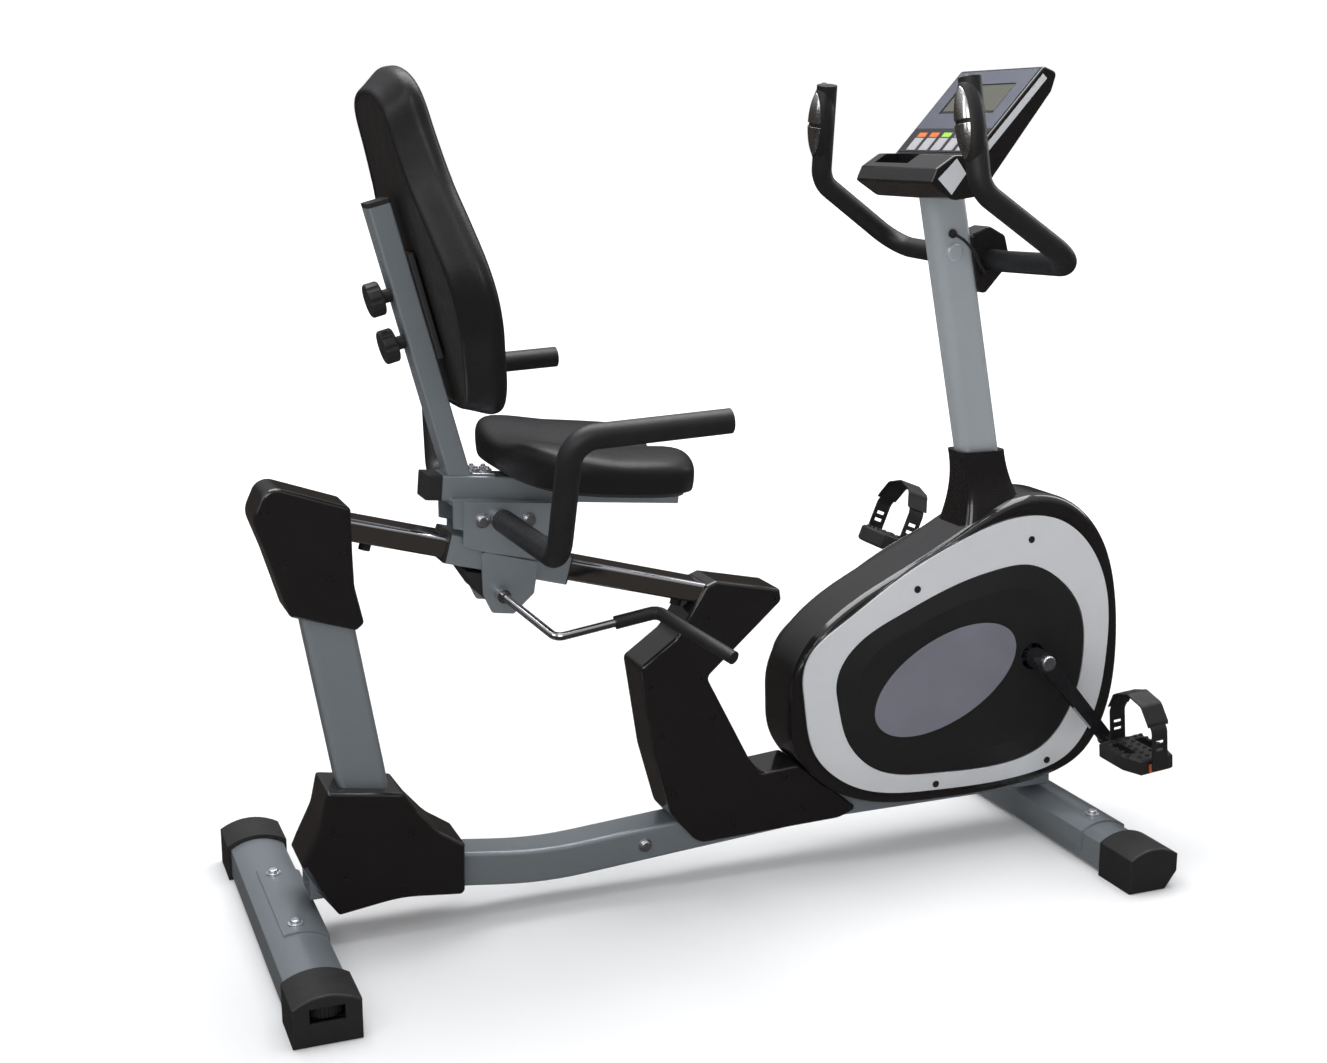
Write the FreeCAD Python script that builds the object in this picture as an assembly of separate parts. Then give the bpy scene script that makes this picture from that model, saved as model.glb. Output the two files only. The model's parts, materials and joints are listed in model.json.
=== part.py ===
import FreeCAD, Part
import math
import os

os.makedirs("parts", exist_ok=True)

# Recumbent exercise bike. Millimetres, +Z up, +X towards the console, +Y to the rider's left.
# Positions along X are counted from the rear edge of the rear feet; save() moves every piece back
# by half the length, so that the origin lies on the floor under the middle of the bike.

LENGTH = 1348.0            # rear feet to the front of the drive housing
V = FreeCAD.Vector
Y_AXIS = V(0, 1, 0)
Z_AXIS = V(0, 0, 1)

# floor frame
FOOT_HALF = 305.0          # half the width over the end caps
FOOT_TUBE_HALF = 250.0
CAP_DEPTH = 77.0
REAR_FOOT = (0.0, 86.0)
FRONT_FOOT = (1203.0, 1284.0)
CAP_EDGE_Z = 52.0
CAP_PEAK_Z = 65.0
FOOT_WALL = 2.0
SADDLE_T = 3.0
TUBE_RISE = 6.0            # the foot tubes are carried this far off the floor by their caps

BASE_W = 60.0
BASE_H = 50.0
BASE_WALL = 2.0
BASE_BEND = 600.0
BASE_PATH = [(75, 88), (170, 89.5), (406, 59.5), (860, 92), (1244, 92)]
BASE_JOINT_X = 591.0
SPIGOT = 62.0

POST_W = 50.0
POST_D = 66.0
POST_FOOT = (174.0, 98.0)
POST_HEAD = (93.7, 588.0)

# seat rail
RAIL_ANGLE = math.radians(-15.0)
RAIL_POINT = (360.0, 514.0)
RAIL_W = 64.0
RAIL_H = 30.0
RAIL_WALL = 1.8
RAIL_ENDS = (-268.0, 388.0)     # along the rail from RAIL_POINT

# drive
CRANK = (1178.0, 297.0)
CRANK_LENGTH = 180.0
CRANK_ANGLE = math.radians(-49.0)
PULLEY_R = 115.0
FLYWHEEL = (945.0, 252.0)
FLYWHEEL_R = 105.0
SMALL_PULLEY_R = 14.5
BELT_Y = (28.0, 40.0)
BELT_T = 3.0
BELT_GAP = 0.3
RUNNING = 0.06             # radial clearance of a shaft in its bore
HOUSING_HALF = 52.0
SHELL_T = 2.5

# mast: a point on its centre line and its slope dx/dz
MAST_POINT = (1105.0, 609.0)
MAST_SLOPE = -0.1967
MAST_W = 42.0
MAST_D = 62.0
MAST_TOP_Z = 992.0
MAST_FOOT_Z = 500.0

# carriage
SLEEVE = (-86.0, 87.0)     # along the rail
SLEEVE_H = 41.0
SLEEVE_W = 76.0
SLEEVE_WALL = 3.0
GLIDE_GAP = 0.3
LEVER_PIVOT = (346.0, 470.0)

# seat and backrest
SEAT_TUBE = ((274.0, 616.5), (612.0, 586.8))
SEAT_TUBE_W = 50.0
SEAT_TUBE_H = 34.0
BACK_LEAN = math.radians(15.0)
BACK_FOOT = (299.0, 632.0)
BACK_TOP = 366.0           # along the back post from BACK_FOOT
BACK_W = 44.0
BACK_D = 30.0
SLOT = (158.0, 294.0)      # along the back post
KNOBS = (189.0, 252.0)     # along the back post

# handlebar
BAR_R = 15.5
HANDLE_R = 15.5
BAR_CENTRE = (1104.0, 895.0)


def save(name, solids):
    """Write one node: its solids, moved to the final origin."""
    whole = Part.makeCompound(list(solids))
    whole.translate(V(-LENGTH / 2, 0, 0))
    whole.exportStep("parts/" + name + ".step")


def mirrored(solid):
    """The same piece on the other side of the bike."""
    return solid.mirror(V(0, 0, 0), Y_AXIS)


def box(x, y, z):
    """A block between two x, two y and two z values."""
    return Part.makeBox(x[1] - x[0], y[1] - y[0], z[1] - z[0], V(x[0], y[0], z[0]))


def rod_y(at, radius, y0, y1):
    """A round bar along Y through the point (x, z)."""
    return Part.makeCylinder(radius, y1 - y0, V(at[0], y0, at[1]), Y_AXIS)


def rod(start, end, radius):
    """A round bar between two points in space."""
    start = V(*start)
    along = V(*end) - start
    return Part.makeCylinder(radius, along.Length, start, along)


def fillet_corner(before, corner, after, radius):
    """Start, middle and end of the arc that rounds one corner."""
    back = (before - corner).normalize()
    ahead = (after - corner).normalize()
    half = back.getAngle(ahead) / 2
    reach = radius / math.tan(half)
    bisector = (back + ahead).normalize()
    centre = corner + bisector * (radius / math.sin(half))
    return corner + back * reach, centre - bisector * radius, corner + ahead * reach


def rounded_path(points, radius):
    """An open wire of straight runs joined by tangent arcs."""
    points = [V(*p) for p in points]
    edges = []
    last = points[0]
    for before, corner, after in zip(points, points[1:], points[2:]):
        start, middle, end = fillet_corner(before, corner, after, radius)
        edges.append(Part.makeLine(last, start))
        edges.append(Part.Arc(start, middle, end).toShape())
        last = end
    edges.append(Part.makeLine(last, points[-1]))
    return Part.Wire(edges)


def rounded_outline(points, radii, y):
    """A closed wire in the XZ plane at y, its corners rounded."""
    points = [V(x, y, z) for x, z in points]
    count = len(points)
    if not isinstance(radii, (list, tuple)):
        radii = [radii] * count
    corners = []
    for i, corner in enumerate(points):
        corners.append(fillet_corner(points[i - 1], corner, points[(i + 1) % count], radii[i]))
    edges = []
    for i, (start, middle, end) in enumerate(corners):
        edges.append(Part.Arc(start, middle, end).toShape())
        following = corners[(i + 1) % count][0]
        if end.distanceToPoint(following) > 0.01:
            edges.append(Part.makeLine(end, following))
    return Part.Wire(edges)


def smooth_outline(points, y, grow=0.0):
    """A closed smooth curve in the XZ plane at y through a few points, its extents grown."""
    xs = [x for x, z in points]
    zs = [z for x, z in points]
    middle_x, half_x = (max(xs) + min(xs)) / 2, (max(xs) - min(xs)) / 2
    middle_z, half_z = (max(zs) + min(zs)) / 2, (max(zs) - min(zs)) / 2
    placed = []
    for x, z in points:
        placed.append(V(middle_x + (x - middle_x) * (half_x + grow) / half_x, y,
                        middle_z + (z - middle_z) * (half_z + grow) / half_z))
    curve = Part.BSplineCurve()
    curve.interpolate(Points=placed, PeriodicFlag=True)
    return Part.Wire(curve.toShape())


def prism(wire, depth):
    """Extrude a flat XZ wire along Y."""
    return Part.Face(wire).extrude(V(0, depth, 0))


def grown(wire, amount):
    """The same outline, moved outwards (or inwards when negative)."""
    return wire.makeOffset2D(amount)


def rounded_section(centre, side, up, width, height, radius):
    """A rounded rectangle about a point, across a path."""
    corners = []
    for a, b in ((-1, -1), (1, -1), (1, 1), (-1, 1)):
        corners.append(centre + side * (a * width / 2) + up * (b * height / 2))
    edges = []
    rounds = []
    for i in range(4):
        rounds.append(fillet_corner(corners[i - 1], corners[i], corners[(i + 1) % 4], radius))
    for i in range(4):
        edges.append(Part.Arc(*rounds[i]).toShape())
        edges.append(Part.makeLine(rounds[i][2], rounds[(i + 1) % 4][0]))
    return Part.Wire(edges)


def bar_along(path, width, height, radius, bend=0.0):
    """A rounded rectangular bar that follows an XZ path."""
    points = [V(x, 0, z) for x, z in path]
    along = (points[1] - points[0]).normalize()
    up = along.cross(Y_AXIS).normalize() * -1
    section = rounded_section(points[0], Y_AXIS, up, width, height, radius)
    if len(points) == 2:
        return Part.Face(section).extrude(points[1] - points[0])
    wire = rounded_path([(p.x, p.y, p.z) for p in points], bend)
    return wire.makePipeShell([section], True, False)


def tube_along(path, width, height, radius, wall, bend=0.0):
    """A rectangular tube that follows an XZ path."""
    outer = bar_along(path, width, height, radius, bend)
    inner = bar_along(path, width - 2 * wall, height - 2 * wall, max(radius - wall, 0.5), bend)
    return outer.cut(inner)


def round_bar(points, radius, bend):
    """A round bar along straight runs joined by tangent arcs."""
    wire = rounded_path(points, bend)
    start = V(*points[0])
    along = V(*points[1]) - start
    section = Part.Wire(Part.makeCircle(radius, start, along))
    return wire.makePipeShell([section], True, False)


def soften(solid, radius, choose):
    """Fillet the edges that choose(edge) picks."""
    edges = [edge for edge in solid.Edges if choose(edge)]
    return solid.makeFillet(radius, edges)


def flat_at_y(y):
    """Picks the edges that lie in the plane at y."""
    def choose(edge):
        bounds = edge.BoundBox
        return abs(bounds.YMin - y) < 0.05 and abs(bounds.YMax - y) < 0.05
    return choose


def rail_at(along, off=0.0):
    """A point (x, z) on the rail's line, off it at right angles."""
    x = RAIL_POINT[0] + along * math.cos(RAIL_ANGLE) - off * math.sin(RAIL_ANGLE)
    z = RAIL_POINT[1] + along * math.sin(RAIL_ANGLE) + off * math.cos(RAIL_ANGLE)
    return x, z


def mast_x(z):
    """X of the mast's centre line at a height."""
    return MAST_POINT[0] + MAST_SLOPE * (z - MAST_POINT[1])


def back_at(along, off=0.0):
    """A point (x, z) on the back post's line; off is towards the rider."""
    x = BACK_FOOT[0] - along * math.sin(BACK_LEAN) + off * math.cos(BACK_LEAN)
    z = BACK_FOOT[1] + along * math.cos(BACK_LEAN) + off * math.sin(BACK_LEAN)
    return x, z


def arched_profile(x0, x1, z0, edge_z, peak_z, y):
    """A flat-bottomed section with an arched top."""
    middle = (x0 + x1) / 2
    edges = [
        Part.makeLine(V(x0, y, z0), V(x0, y, edge_z)),
        Part.Arc(V(x0, y, edge_z), V(middle, y, peak_z), V(x1, y, edge_z)).toShape(),
        Part.makeLine(V(x1, y, edge_z), V(x1, y, z0)),
        Part.makeLine(V(x1, y, z0), V(x0, y, z0)),
    ]
    return Part.Wire(edges)


def foot_section(foot, inset, y, raised=TUBE_RISE):
    """The foot tube's arched section, moved in from the cap's outline."""
    return arched_profile(foot[0] + inset, foot[1] - inset, raised, CAP_EDGE_Z - inset,
                          CAP_PEAK_Z - inset - 1, y)


TUBE_INSET = 5.0
BOLT_R = 4.0
BOLT_HOLE_R = 4.15
HEAD_R = 7.0
WASHER_R = 10.0
REAR_BOLTS_Y = 87.0
FRONT_BOLTS_Y = 150.0
REAR_SADDLE_HALF = 112.0
FRONT_SADDLE_HALF = 178.0
REAR_BOLT_X = 44.0
FRONT_BOLT_X = 1243.0
FOOT_TOP_Z = CAP_PEAK_Z - TUBE_INSET - 1


def foot_bolts():
    """Where the bolts go through the two saddle plates."""
    places = []
    for x, y in ((REAR_BOLT_X, REAR_BOLTS_Y), (FRONT_BOLT_X, FRONT_BOLTS_Y)):
        places.append((x, y))
        places.append((x, -y))
    return places


def stabilisers():
    """Two arched foot tubes and the bent saddle plates that lie on them."""
    pieces = []
    for foot, half, plate_start in ((REAR_FOOT, REAR_SADDLE_HALF, 24.0),
                                    (FRONT_FOOT, FRONT_SADDLE_HALF, 0.0)):
        outer = prism(foot_section(foot, TUBE_INSET, -FOOT_TUBE_HALF), 2 * FOOT_TUBE_HALF)
        inner_wire = arched_profile(foot[0] + TUBE_INSET + FOOT_WALL, foot[1] - TUBE_INSET - FOOT_WALL,
                                    TUBE_RISE + FOOT_WALL, CAP_EDGE_Z - TUBE_INSET - FOOT_WALL,
                                    FOOT_TOP_Z - FOOT_WALL, -FOOT_TUBE_HALF - 1)
        tube = outer.cut(prism(inner_wire, 2 * FOOT_TUBE_HALF + 2))
        over = prism(foot_section(foot, TUBE_INSET - SADDLE_T, -half, 22.0), 2 * half)
        plate = over.cut(outer)
        plate = plate.cut(box((foot[0] - 5, foot[0] + plate_start), (-half - 1, half + 1), (0, 90)))
        for x, y in foot_bolts():
            hole = rod((x, y, FOOT_TOP_Z - 12), (x, y, FOOT_TOP_Z + 12), BOLT_HOLE_R)
            tube = tube.cut(hole)
            plate = plate.cut(hole)
        pieces.append(tube)
        pieces.append(plate)
    return pieces


def cap(foot, chamfer, side):
    """One hollow end cap that closes a foot tube."""
    near = FOOT_HALF - CAP_DEPTH
    body = prism(arched_profile(foot[0], foot[1], 0, CAP_EDGE_Z, CAP_PEAK_Z, near), CAP_DEPTH)
    if chamfer:
        wedge = Part.makePolygon([V(foot[1] - 20, near - 1, -1), V(foot[1] + 1, near - 1, -1),
                                  V(foot[1] + 1, near - 1, 27), V(foot[1] - 20, near - 1, -1)])
        body = body.cut(Part.Face(wedge).extrude(V(0, CAP_DEPTH + 2, 0)))
    body = soften(body, 3.0, flat_at_y(FOOT_HALF))
    hollow = foot_section(foot, TUBE_INSET - 0.2, near - 1, TUBE_RISE - 0.2)
    body = body.cut(prism(hollow, CAP_DEPTH - 3))
    return body if side > 0 else mirrored(body)


DIAL_AT = (43.0, 276.0)
DIAL_R = 24.0
DIAL_Z = (33.0, 47.0)
DIAL_STUD_R = 4.5
ROLLER_AT = (1258.0, 24.0)
ROLLER_R = 22.5
ROLLER_Y = (263.5, 288.5)
ROLLER_PIN_R = 3.5


def end_caps():
    """Rear caps with dial slots; front caps with a chamfered toe and a roller well."""
    pieces = []
    rear = cap(REAR_FOOT, False, 1)
    rear = rear.cut(box((21, 65), (FOOT_HALF - 8, FOOT_HALF + 1), (30.5, 49.5)))
    rear = rear.cut(rod((DIAL_AT[0], DIAL_AT[1], -1), (DIAL_AT[0], DIAL_AT[1], 12), DIAL_STUD_R + RUNNING))
    front = cap(FRONT_FOOT, True, 1)
    front = front.cut(box((ROLLER_AT[0] - 25, FRONT_FOOT[1] + 1), (ROLLER_Y[0] - 1, ROLLER_Y[1] + 1),
                          (-1, 34)))
    for y0, y1 in ((ROLLER_Y[0] - 7, ROLLER_Y[0] - 1), (ROLLER_Y[1] + 1, ROLLER_Y[1] + 7)):
        rib = box((ROLLER_AT[0] - 12, ROLLER_AT[0] + 12), (y0, y1), (3, 40))
        front = front.fuse(rib.cut(rod_y(ROLLER_AT, ROLLER_PIN_R, y0 - 1, y1 + 1)))
    for solid in (rear, front.removeSplitter()):
        pieces.append(solid)
        pieces.append(mirrored(solid))
    return pieces


def levelling_dial():
    """A ridged wheel on an upright stud, seen through the slot in a rear cap."""
    x, y = DIAL_AT
    disc = Part.makeCylinder(DIAL_R, DIAL_Z[1] - DIAL_Z[0], V(x, y, DIAL_Z[0]))
    groove_count = 30
    for i in range(groove_count):
        angle = 2 * math.pi * i / groove_count
        groove = Part.makeCylinder(1.2, DIAL_Z[1] - DIAL_Z[0] + 2,
                                   V(x + DIAL_R * math.cos(angle), y + DIAL_R * math.sin(angle),
                                     DIAL_Z[0] - 1))
        disc = disc.cut(groove)
    stud = Part.makeCylinder(DIAL_STUD_R, 50, V(x, y, 1.5))
    return disc.fuse(stud)


def transport_roller():
    """A small wheel in the toe of a front cap."""
    wheel = rod_y(ROLLER_AT, ROLLER_R, *ROLLER_Y)
    wheel = soften(wheel, 3.0, lambda edge: edge.Curve.TypeId == "Part::GeomCircle")
    return wheel.cut(rod_y(ROLLER_AT, ROLLER_PIN_R + RUNNING, ROLLER_Y[0] - 1, ROLLER_Y[1] + 1))


def base_tubes():
    """The bent floor tube in two lengths, the front one with a spigot inside the rear one."""
    whole = tube_along(BASE_PATH, BASE_W, BASE_H, 7.0, BASE_WALL, BASE_BEND)
    rear = whole.common(box((0, BASE_JOINT_X), (-60, 60), (-20, 200)))
    front = whole.common(box((BASE_JOINT_X, LENGTH), (-60, 60), (-20, 200)))
    sleeve = tube_along(BASE_PATH, BASE_W - 2 * BASE_WALL - 0.4, BASE_H - 2 * BASE_WALL - 0.4, 4.6, 3.0,
                        BASE_BEND)
    spigot = sleeve.common(box((BASE_JOINT_X - SPIGOT, BASE_JOINT_X + 40), (-60, 60), (-20, 200)))
    bolt_hole = rod_y(JOINT_BOLT, BOLT_HOLE_R, -40, 40)
    return [rear.cut(bolt_hole), front, spigot.cut(bolt_hole)]


JOINT_BOLT = (558.0, 70.2)


def post_bar(extra=0.0):
    """The rear post as a plain bar."""
    return bar_along([POST_FOOT, POST_HEAD], POST_W + 2 * extra, POST_D + 2 * extra, 9.0 + extra)


def base_bar(extra=0.0):
    """The floor tube as a plain bar."""
    return bar_along(BASE_PATH, BASE_W + 2 * extra, BASE_H + 2 * extra, 7.0 + extra, BASE_BEND)


def rail_bar(extra=0.0, ends=RAIL_ENDS):
    """The seat rail as a plain bar."""
    path = [rail_at(ends[0]), rail_at(ends[1])]
    return bar_along(path, RAIL_W + 2 * extra, RAIL_H + 2 * extra, 7.0 + extra)


def rear_post():
    """The leaning post between the floor tube and the rail."""
    tube = tube_along([POST_FOOT, POST_HEAD], POST_W, POST_D, 9.0, 2.0)
    above_rail = box((0, 300), (-60, 60), (590, 700))
    tube = tube.cut(base_bar()).cut(rail_bar()).cut(above_rail)
    return biggest(tube)


def biggest(shape):
    """The largest solid of a cut shape."""
    return max(shape.Solids, key=lambda solid: solid.Volume)


def rail_tube():
    """The chromed rail that the seat slides on."""
    return rail_bar().cut(bar_along([rail_at(RAIL_ENDS[0] - 5), rail_at(RAIL_ENDS[1] + 5)],
                                    RAIL_W - 2 * RAIL_WALL, RAIL_H - 2 * RAIL_WALL, 5.2))


FRONT_POST_PATH = [(652, 96), (606, 322), (704, 416)]
LOWER_POST_TOP_Z = 640.0


def lower_mast_path():
    """The inner post that the mast is slipped over."""
    return [(mast_x(105), 105), (mast_x(LOWER_POST_TOP_Z), LOWER_POST_TOP_Z)]


def drive_plate(y0, y1):
    """One of the two plates that carry the flywheel's fixed axle and the brake bracket's pin."""
    outline = [(900, 117), (1010, 117), (968, 262), (950, 384), (908, 384), (922, 262)]
    return prism(rounded_outline(outline, 6.0, y0), y1 - y0)


FLYWHEEL_AXLE_R = 6.0
BRAKE_PIN_R = 4.0
BRAKE_PIVOT = (929.0, 372.0)
PLATES_Y = (-27.0, 46.0)
PLATE_T = 3.0


def inner_frame():
    """Hidden frame: the post under the rail's front, the mast's inner post with its crank bearing
    tube, and the flywheel plates with the fixed axle and pin."""
    rail_post = tube_along(FRONT_POST_PATH, 40.0, 44.0, 6.0, 2.0, 40.0)
    rail_post = biggest(rail_post.cut(base_bar()).cut(rail_bar()))
    path = lower_mast_path()
    mast_post = tube_along(path, MAST_W - 5.0, MAST_D - 5.0, 12.0, 2.5)
    shell = rod_y(CRANK, 21.0, -34, 26)
    mast_post = mast_post.cut(shell).fuse(shell).cut(base_bar())
    mast_post = biggest(mast_post.cut(rod_y(CRANK, AXLE_R + RUNNING, -36, 28)))
    solids = [rail_post, mast_post]
    for y in PLATES_Y:
        plate = drive_plate(y, y + PLATE_T)
        plate = plate.cut(rod_y(FLYWHEEL, FLYWHEEL_AXLE_R, y - 1, y + PLATE_T + 1))
        plate = plate.cut(rod_y(BRAKE_PIVOT, BRAKE_PIN_R, y - 1, y + PLATE_T + 1))
        solids.append(plate)
    low, high = PLATES_Y[0], PLATES_Y[1] + PLATE_T
    solids.append(rod_y(FLYWHEEL, FLYWHEEL_AXLE_R, low, high))
    solids.append(rod_y(BRAKE_PIVOT, BRAKE_PIN_R, low, high))
    return solids


AXLE_R = 8.5

TOP_COVER = [(22, 596), (42, 640), (149, 603), (149, 543), (150, 497), (161, 446), (150, 437), (64, 464),
             (40, 545)]
TOP_COVER_R = [30, 22, 8, 40, 60, 7, 6, 10, 60]
FOOT_COVER = [(101, 221), (203, 205), (221, 178), (250, 144), (288, 118), (286, 44), (197, 54),
              (111, 42), (82, 82), (63, 120), (71, 138), (92, 180)]
FOOT_COVER_R = [4, 4, 40, 60, 4, 8, 200, 5, 30, 4, 20, 50]
RAIL_COVER = [(649, 450), (664, 456), (765, 435), (768, 417), (652, 314), (720, 182), (738, 158),
              (800, 163), (900, 80), (870, 68), (640, 62), (596, 112), (570, 205), (549, 340),
              (604, 379)]
RAIL_COVER_R = [5, 5, 5, 10, 10, 20, 12, 8, 5, 40, 30, 24, 60, 10, 30]
HOUSING = [(778, 262), (789, 318), (843, 382), (935, 436), (1040, 488), (1112, 526), (1182, 545),
           (1250, 528), (1312, 465), (1341, 375), (1348, 280), (1336, 188), (1293, 116), (1205, 84),
           (1030, 77), (895, 95), (820, 143), (783, 200)]
HOUSING_ROUND = [(52.0, -12.0), (50.0, -7.0), (46.0, -3.2), (41.0, -1.0), (34.0, 0.0)]
RING = [(796, 283), (808, 338), (860, 379), (955, 440), (1056, 487), (1150, 513), (1220, 505),
        (1281, 457), (1317, 374), (1320, 284), (1305, 195), (1262, 128), (1183, 102), (1015, 99),
        (881, 124), (820, 177)]
DISC = [(848, 268), (853, 312), (884, 349), (950, 384), (1040, 420), (1115, 438), (1168, 440),
        (1222, 414), (1264, 363), (1275, 295), (1257, 207), (1213, 150), (1139, 127), (1015, 128),
        (915, 148), (868, 196)]
BADGE_CENTRE = (1027.0, 277.0)
BADGE_SIZE = (128.0, 68.0)
BADGE_TILT = 25.0
COVER_SPLIT = 0.0


def hollow_cover(outline, radii, half, soft, openings):
    """A moulded cover in two half shells with rounded edges, cut where tubes go through."""
    wire = rounded_outline(outline, radii, -half)
    outer = prism(wire, 2 * half)
    outer = soften(outer, soft, flat_at_y(-half))
    outer = soften(outer, soft, flat_at_y(half))
    inner_half = half - SHELL_T
    inner = prism(grown(rounded_outline(outline, radii, -inner_half), -SHELL_T), 2 * inner_half)
    inner = soften(inner, soft - SHELL_T, flat_at_y(-inner_half))
    inner = soften(inner, soft - SHELL_T, flat_at_y(inner_half))
    shell = outer.cut(inner)
    for opening in openings:
        shell = shell.cut(opening)
    right = biggest(shell.common(box((-50, LENGTH), (-200, COVER_SPLIT), (-50, 900))))
    left = biggest(shell.common(box((-50, LENGTH), (COVER_SPLIT, 200), (-50, 900))))
    return [right, left]


FIT_GAP = 0.4


def rear_top_cover():
    """The cover over the rail's rear end and the head of the post."""
    halves = hollow_cover(TOP_COVER, TOP_COVER_R, 40.0, 6.0, [post_bar(FIT_GAP), rail_bar(FIT_GAP)])
    return [half.cut(screw_holes()) for half in halves]


def rear_foot_cover():
    """The flared cover where the post meets the floor tube."""
    halves = hollow_cover(FOOT_COVER, FOOT_COVER_R, 45.0, 7.0, [post_bar(FIT_GAP), base_bar(FIT_GAP)])
    saddle = prism(foot_section(REAR_FOOT, TUBE_INSET - SADDLE_T - FIT_GAP, -60, 22.0), 120)
    return [biggest(half.cut(screw_holes()).cut(saddle)) for half in halves]


def rail_cover():
    """The bent cover from the rail's front end down to the floor tube."""
    housing = prism(smooth_outline(HOUSING, -80, 0.8), 160)
    halves = hollow_cover(RAIL_COVER, RAIL_COVER_R, 38.0, 6.0,
                          [rail_bar(FIT_GAP), base_bar(FIT_GAP), housing])
    return [half.cut(screw_holes()) for half in halves]


# screws in the covers: (x, z) and the y of the face they sit in
TOP_SCREWS = [(38, 606), (58, 536), (137, 543), (118, 509)]
FOOT_SCREWS = [(108, 160), (211, 145), (123, 97), (199, 66)]
RAIL_SCREWS = [(650, 404), (638, 316), (562, 312), (660, 254), (580, 235), (600, 146), (691, 86),
               (806, 92), (776, 148), (753, 421)]
RING_SCREWS = [(978, 419), (1172, 478), (1219, 121), (1021, 109)]
SCREW_R = 4.4
SCREW_SINK = 2.4


def screw_places():
    """Every cover screw: x, z and the y of its face."""
    places = []
    for group, face in ((TOP_SCREWS, 40.0), (FOOT_SCREWS, 45.0), (RAIL_SCREWS, 38.0)):
        for x, z in group:
            places.append((x, z, face))
    for x, z in RING_SCREWS:
        places.append((x, z, RING_EDGE + 1.0))
    return places


def screw_holes():
    """Recesses for the cover screws, both sides."""
    cutters = []
    for x, z, face in screw_places():
        for side in (-1, 1):
            start = V(x, side * (face + 1), z)
            cutters.append(Part.makeCylinder(SCREW_R + 0.15, 30, start, V(0, -side, 0)))
    return Part.makeCompound(cutters)


def cover_screws():
    """Countersunk screws set a little below the cover faces."""
    pieces = []
    for x, z, face in screw_places():
        for side in (-1, 1):
            start = V(x, side * (face - SCREW_SINK), z)
            head = Part.makeCylinder(SCREW_R, 2.4, start, V(0, -side, 0))
            slot_a = Part.makeBox(4.4, 1.2, 1.0, V(x - 2.2, start.y - 0.6, z - 0.5))
            slot_b = Part.makeBox(1.0, 1.2, 4.4, V(x - 0.5, start.y - 0.6, z - 2.2))
            shank = Part.makeCylinder(1.6, 5.0, start, V(0, -side, 0))
            pieces.append(head.fuse(shank).cut(slot_a).cut(slot_b))
    return pieces


RING_FACE = 61.0
RING_EDGE = 56.5
DISC_FACE = 61.0
DOME_FACE = 68.0
BADGE_FACE = 70.0
CRANK_HOLE_R = 20.5


def housing_body(grow, sink):
    """The drive housing's rounded bulk, grown in outline and sunk at its faces."""
    body = prism(smooth_outline(HOUSING, -HOUSING_ROUND[-1][0] + sink, grow), 2 * (HOUSING_ROUND[-1][0] - sink))
    levels = [smooth_outline(HOUSING, -y + sink, step + grow) for y, step in HOUSING_ROUND]
    cheek = Part.makeLoft(levels, True, False)
    return body.fuse([cheek, mirrored(cheek)])


def housing_shells():
    """The two halves of the drive housing."""
    plinth = prism(smooth_outline(RING, -RING_EDGE + 3.0, 1.5), 20.0)
    outer = housing_body(0.0, 0.0).fuse([plinth, mirrored(plinth)])
    shell = outer.cut(housing_body(-SHELL_T, SHELL_T))
    shell = shell.cut(base_bar(FIT_GAP))
    shell = shell.cut(rod_y(CRANK, CRANK_HOLE_R, -80, 80))
    shell = shell.cut(boot_solid(0.3))
    shell = shell.cut(screw_holes())
    low = biggest(shell.common(box((0, LENGTH + 50), (-200, 0), (0, 900))))
    high = biggest(shell.common(box((0, LENGTH + 50), (0, 200), (0, 900))))
    return [low, high]


def trim_rings():
    """A silver egg-shaped ring on each side of the housing, sloping out towards its middle."""
    foot = smooth_outline(RING, -RING_EDGE + 3.0)
    rim = smooth_outline(RING, -RING_EDGE)
    crown = smooth_outline(DISC, -RING_FACE, 2.0)
    plate = Part.makeLoft([foot, rim], True, True).fuse(Part.makeLoft([rim, crown], True, True))
    plate = plate.cut(prism(smooth_outline(DISC, -RING_FACE - 5), 40))
    plate = plate.cut(screw_holes())
    return [plate, mirrored(plate)]


def side_discs():
    """The dark domed panel inside each ring, with a hole for the crank."""
    foot = smooth_outline(DISC, -RING_EDGE + 3.0, -0.5)
    edge = smooth_outline(DISC, -DISC_FACE, -2.0)
    crown = smooth_outline(DISC, -DOME_FACE, -34.0)
    panel = Part.makeLoft([foot, edge, crown], True, True)
    panel = panel.cut(rod_y(CRANK, CRANK_HOLE_R, -80, -40))
    panel = panel.cut(badge_solid())
    return [panel, mirrored(panel)]


def badge_solid():
    """A tilted oval plate let into the panel."""
    across = V(BADGE_CENTRE[0], -BADGE_FACE, BADGE_CENTRE[1])
    ellipse = Part.Ellipse(V(0, 0, 0), BADGE_SIZE[0], BADGE_SIZE[1])
    wire = Part.Wire(ellipse.toShape())
    wire.rotate(V(0, 0, 0), V(1, 0, 0), 90)
    wire.rotate(V(0, 0, 0), Y_AXIS, -BADGE_TILT)
    wire.translate(across)
    plate = Part.Face(wire).extrude(V(0, 4, 0))
    return plate.cut(rod_y(CRANK, CRANK_HOLE_R + 5, -80, -40))


def badges():
    """The oval plates of both sides."""
    plate = soften(badge_solid(), 1.0, flat_at_y(-BADGE_FACE))
    return [plate, mirrored(plate)]


BOOT_TOP_Z = 612.0
BOOT_LOW_Z = 478.0


def mast_ring(z, width, depth, radius):
    """A level rounded rectangle round the mast's centre line."""
    return rounded_section(V(mast_x(z), 0, z), Y_AXIS, V(1, 0, 0), width, depth, radius)


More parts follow.
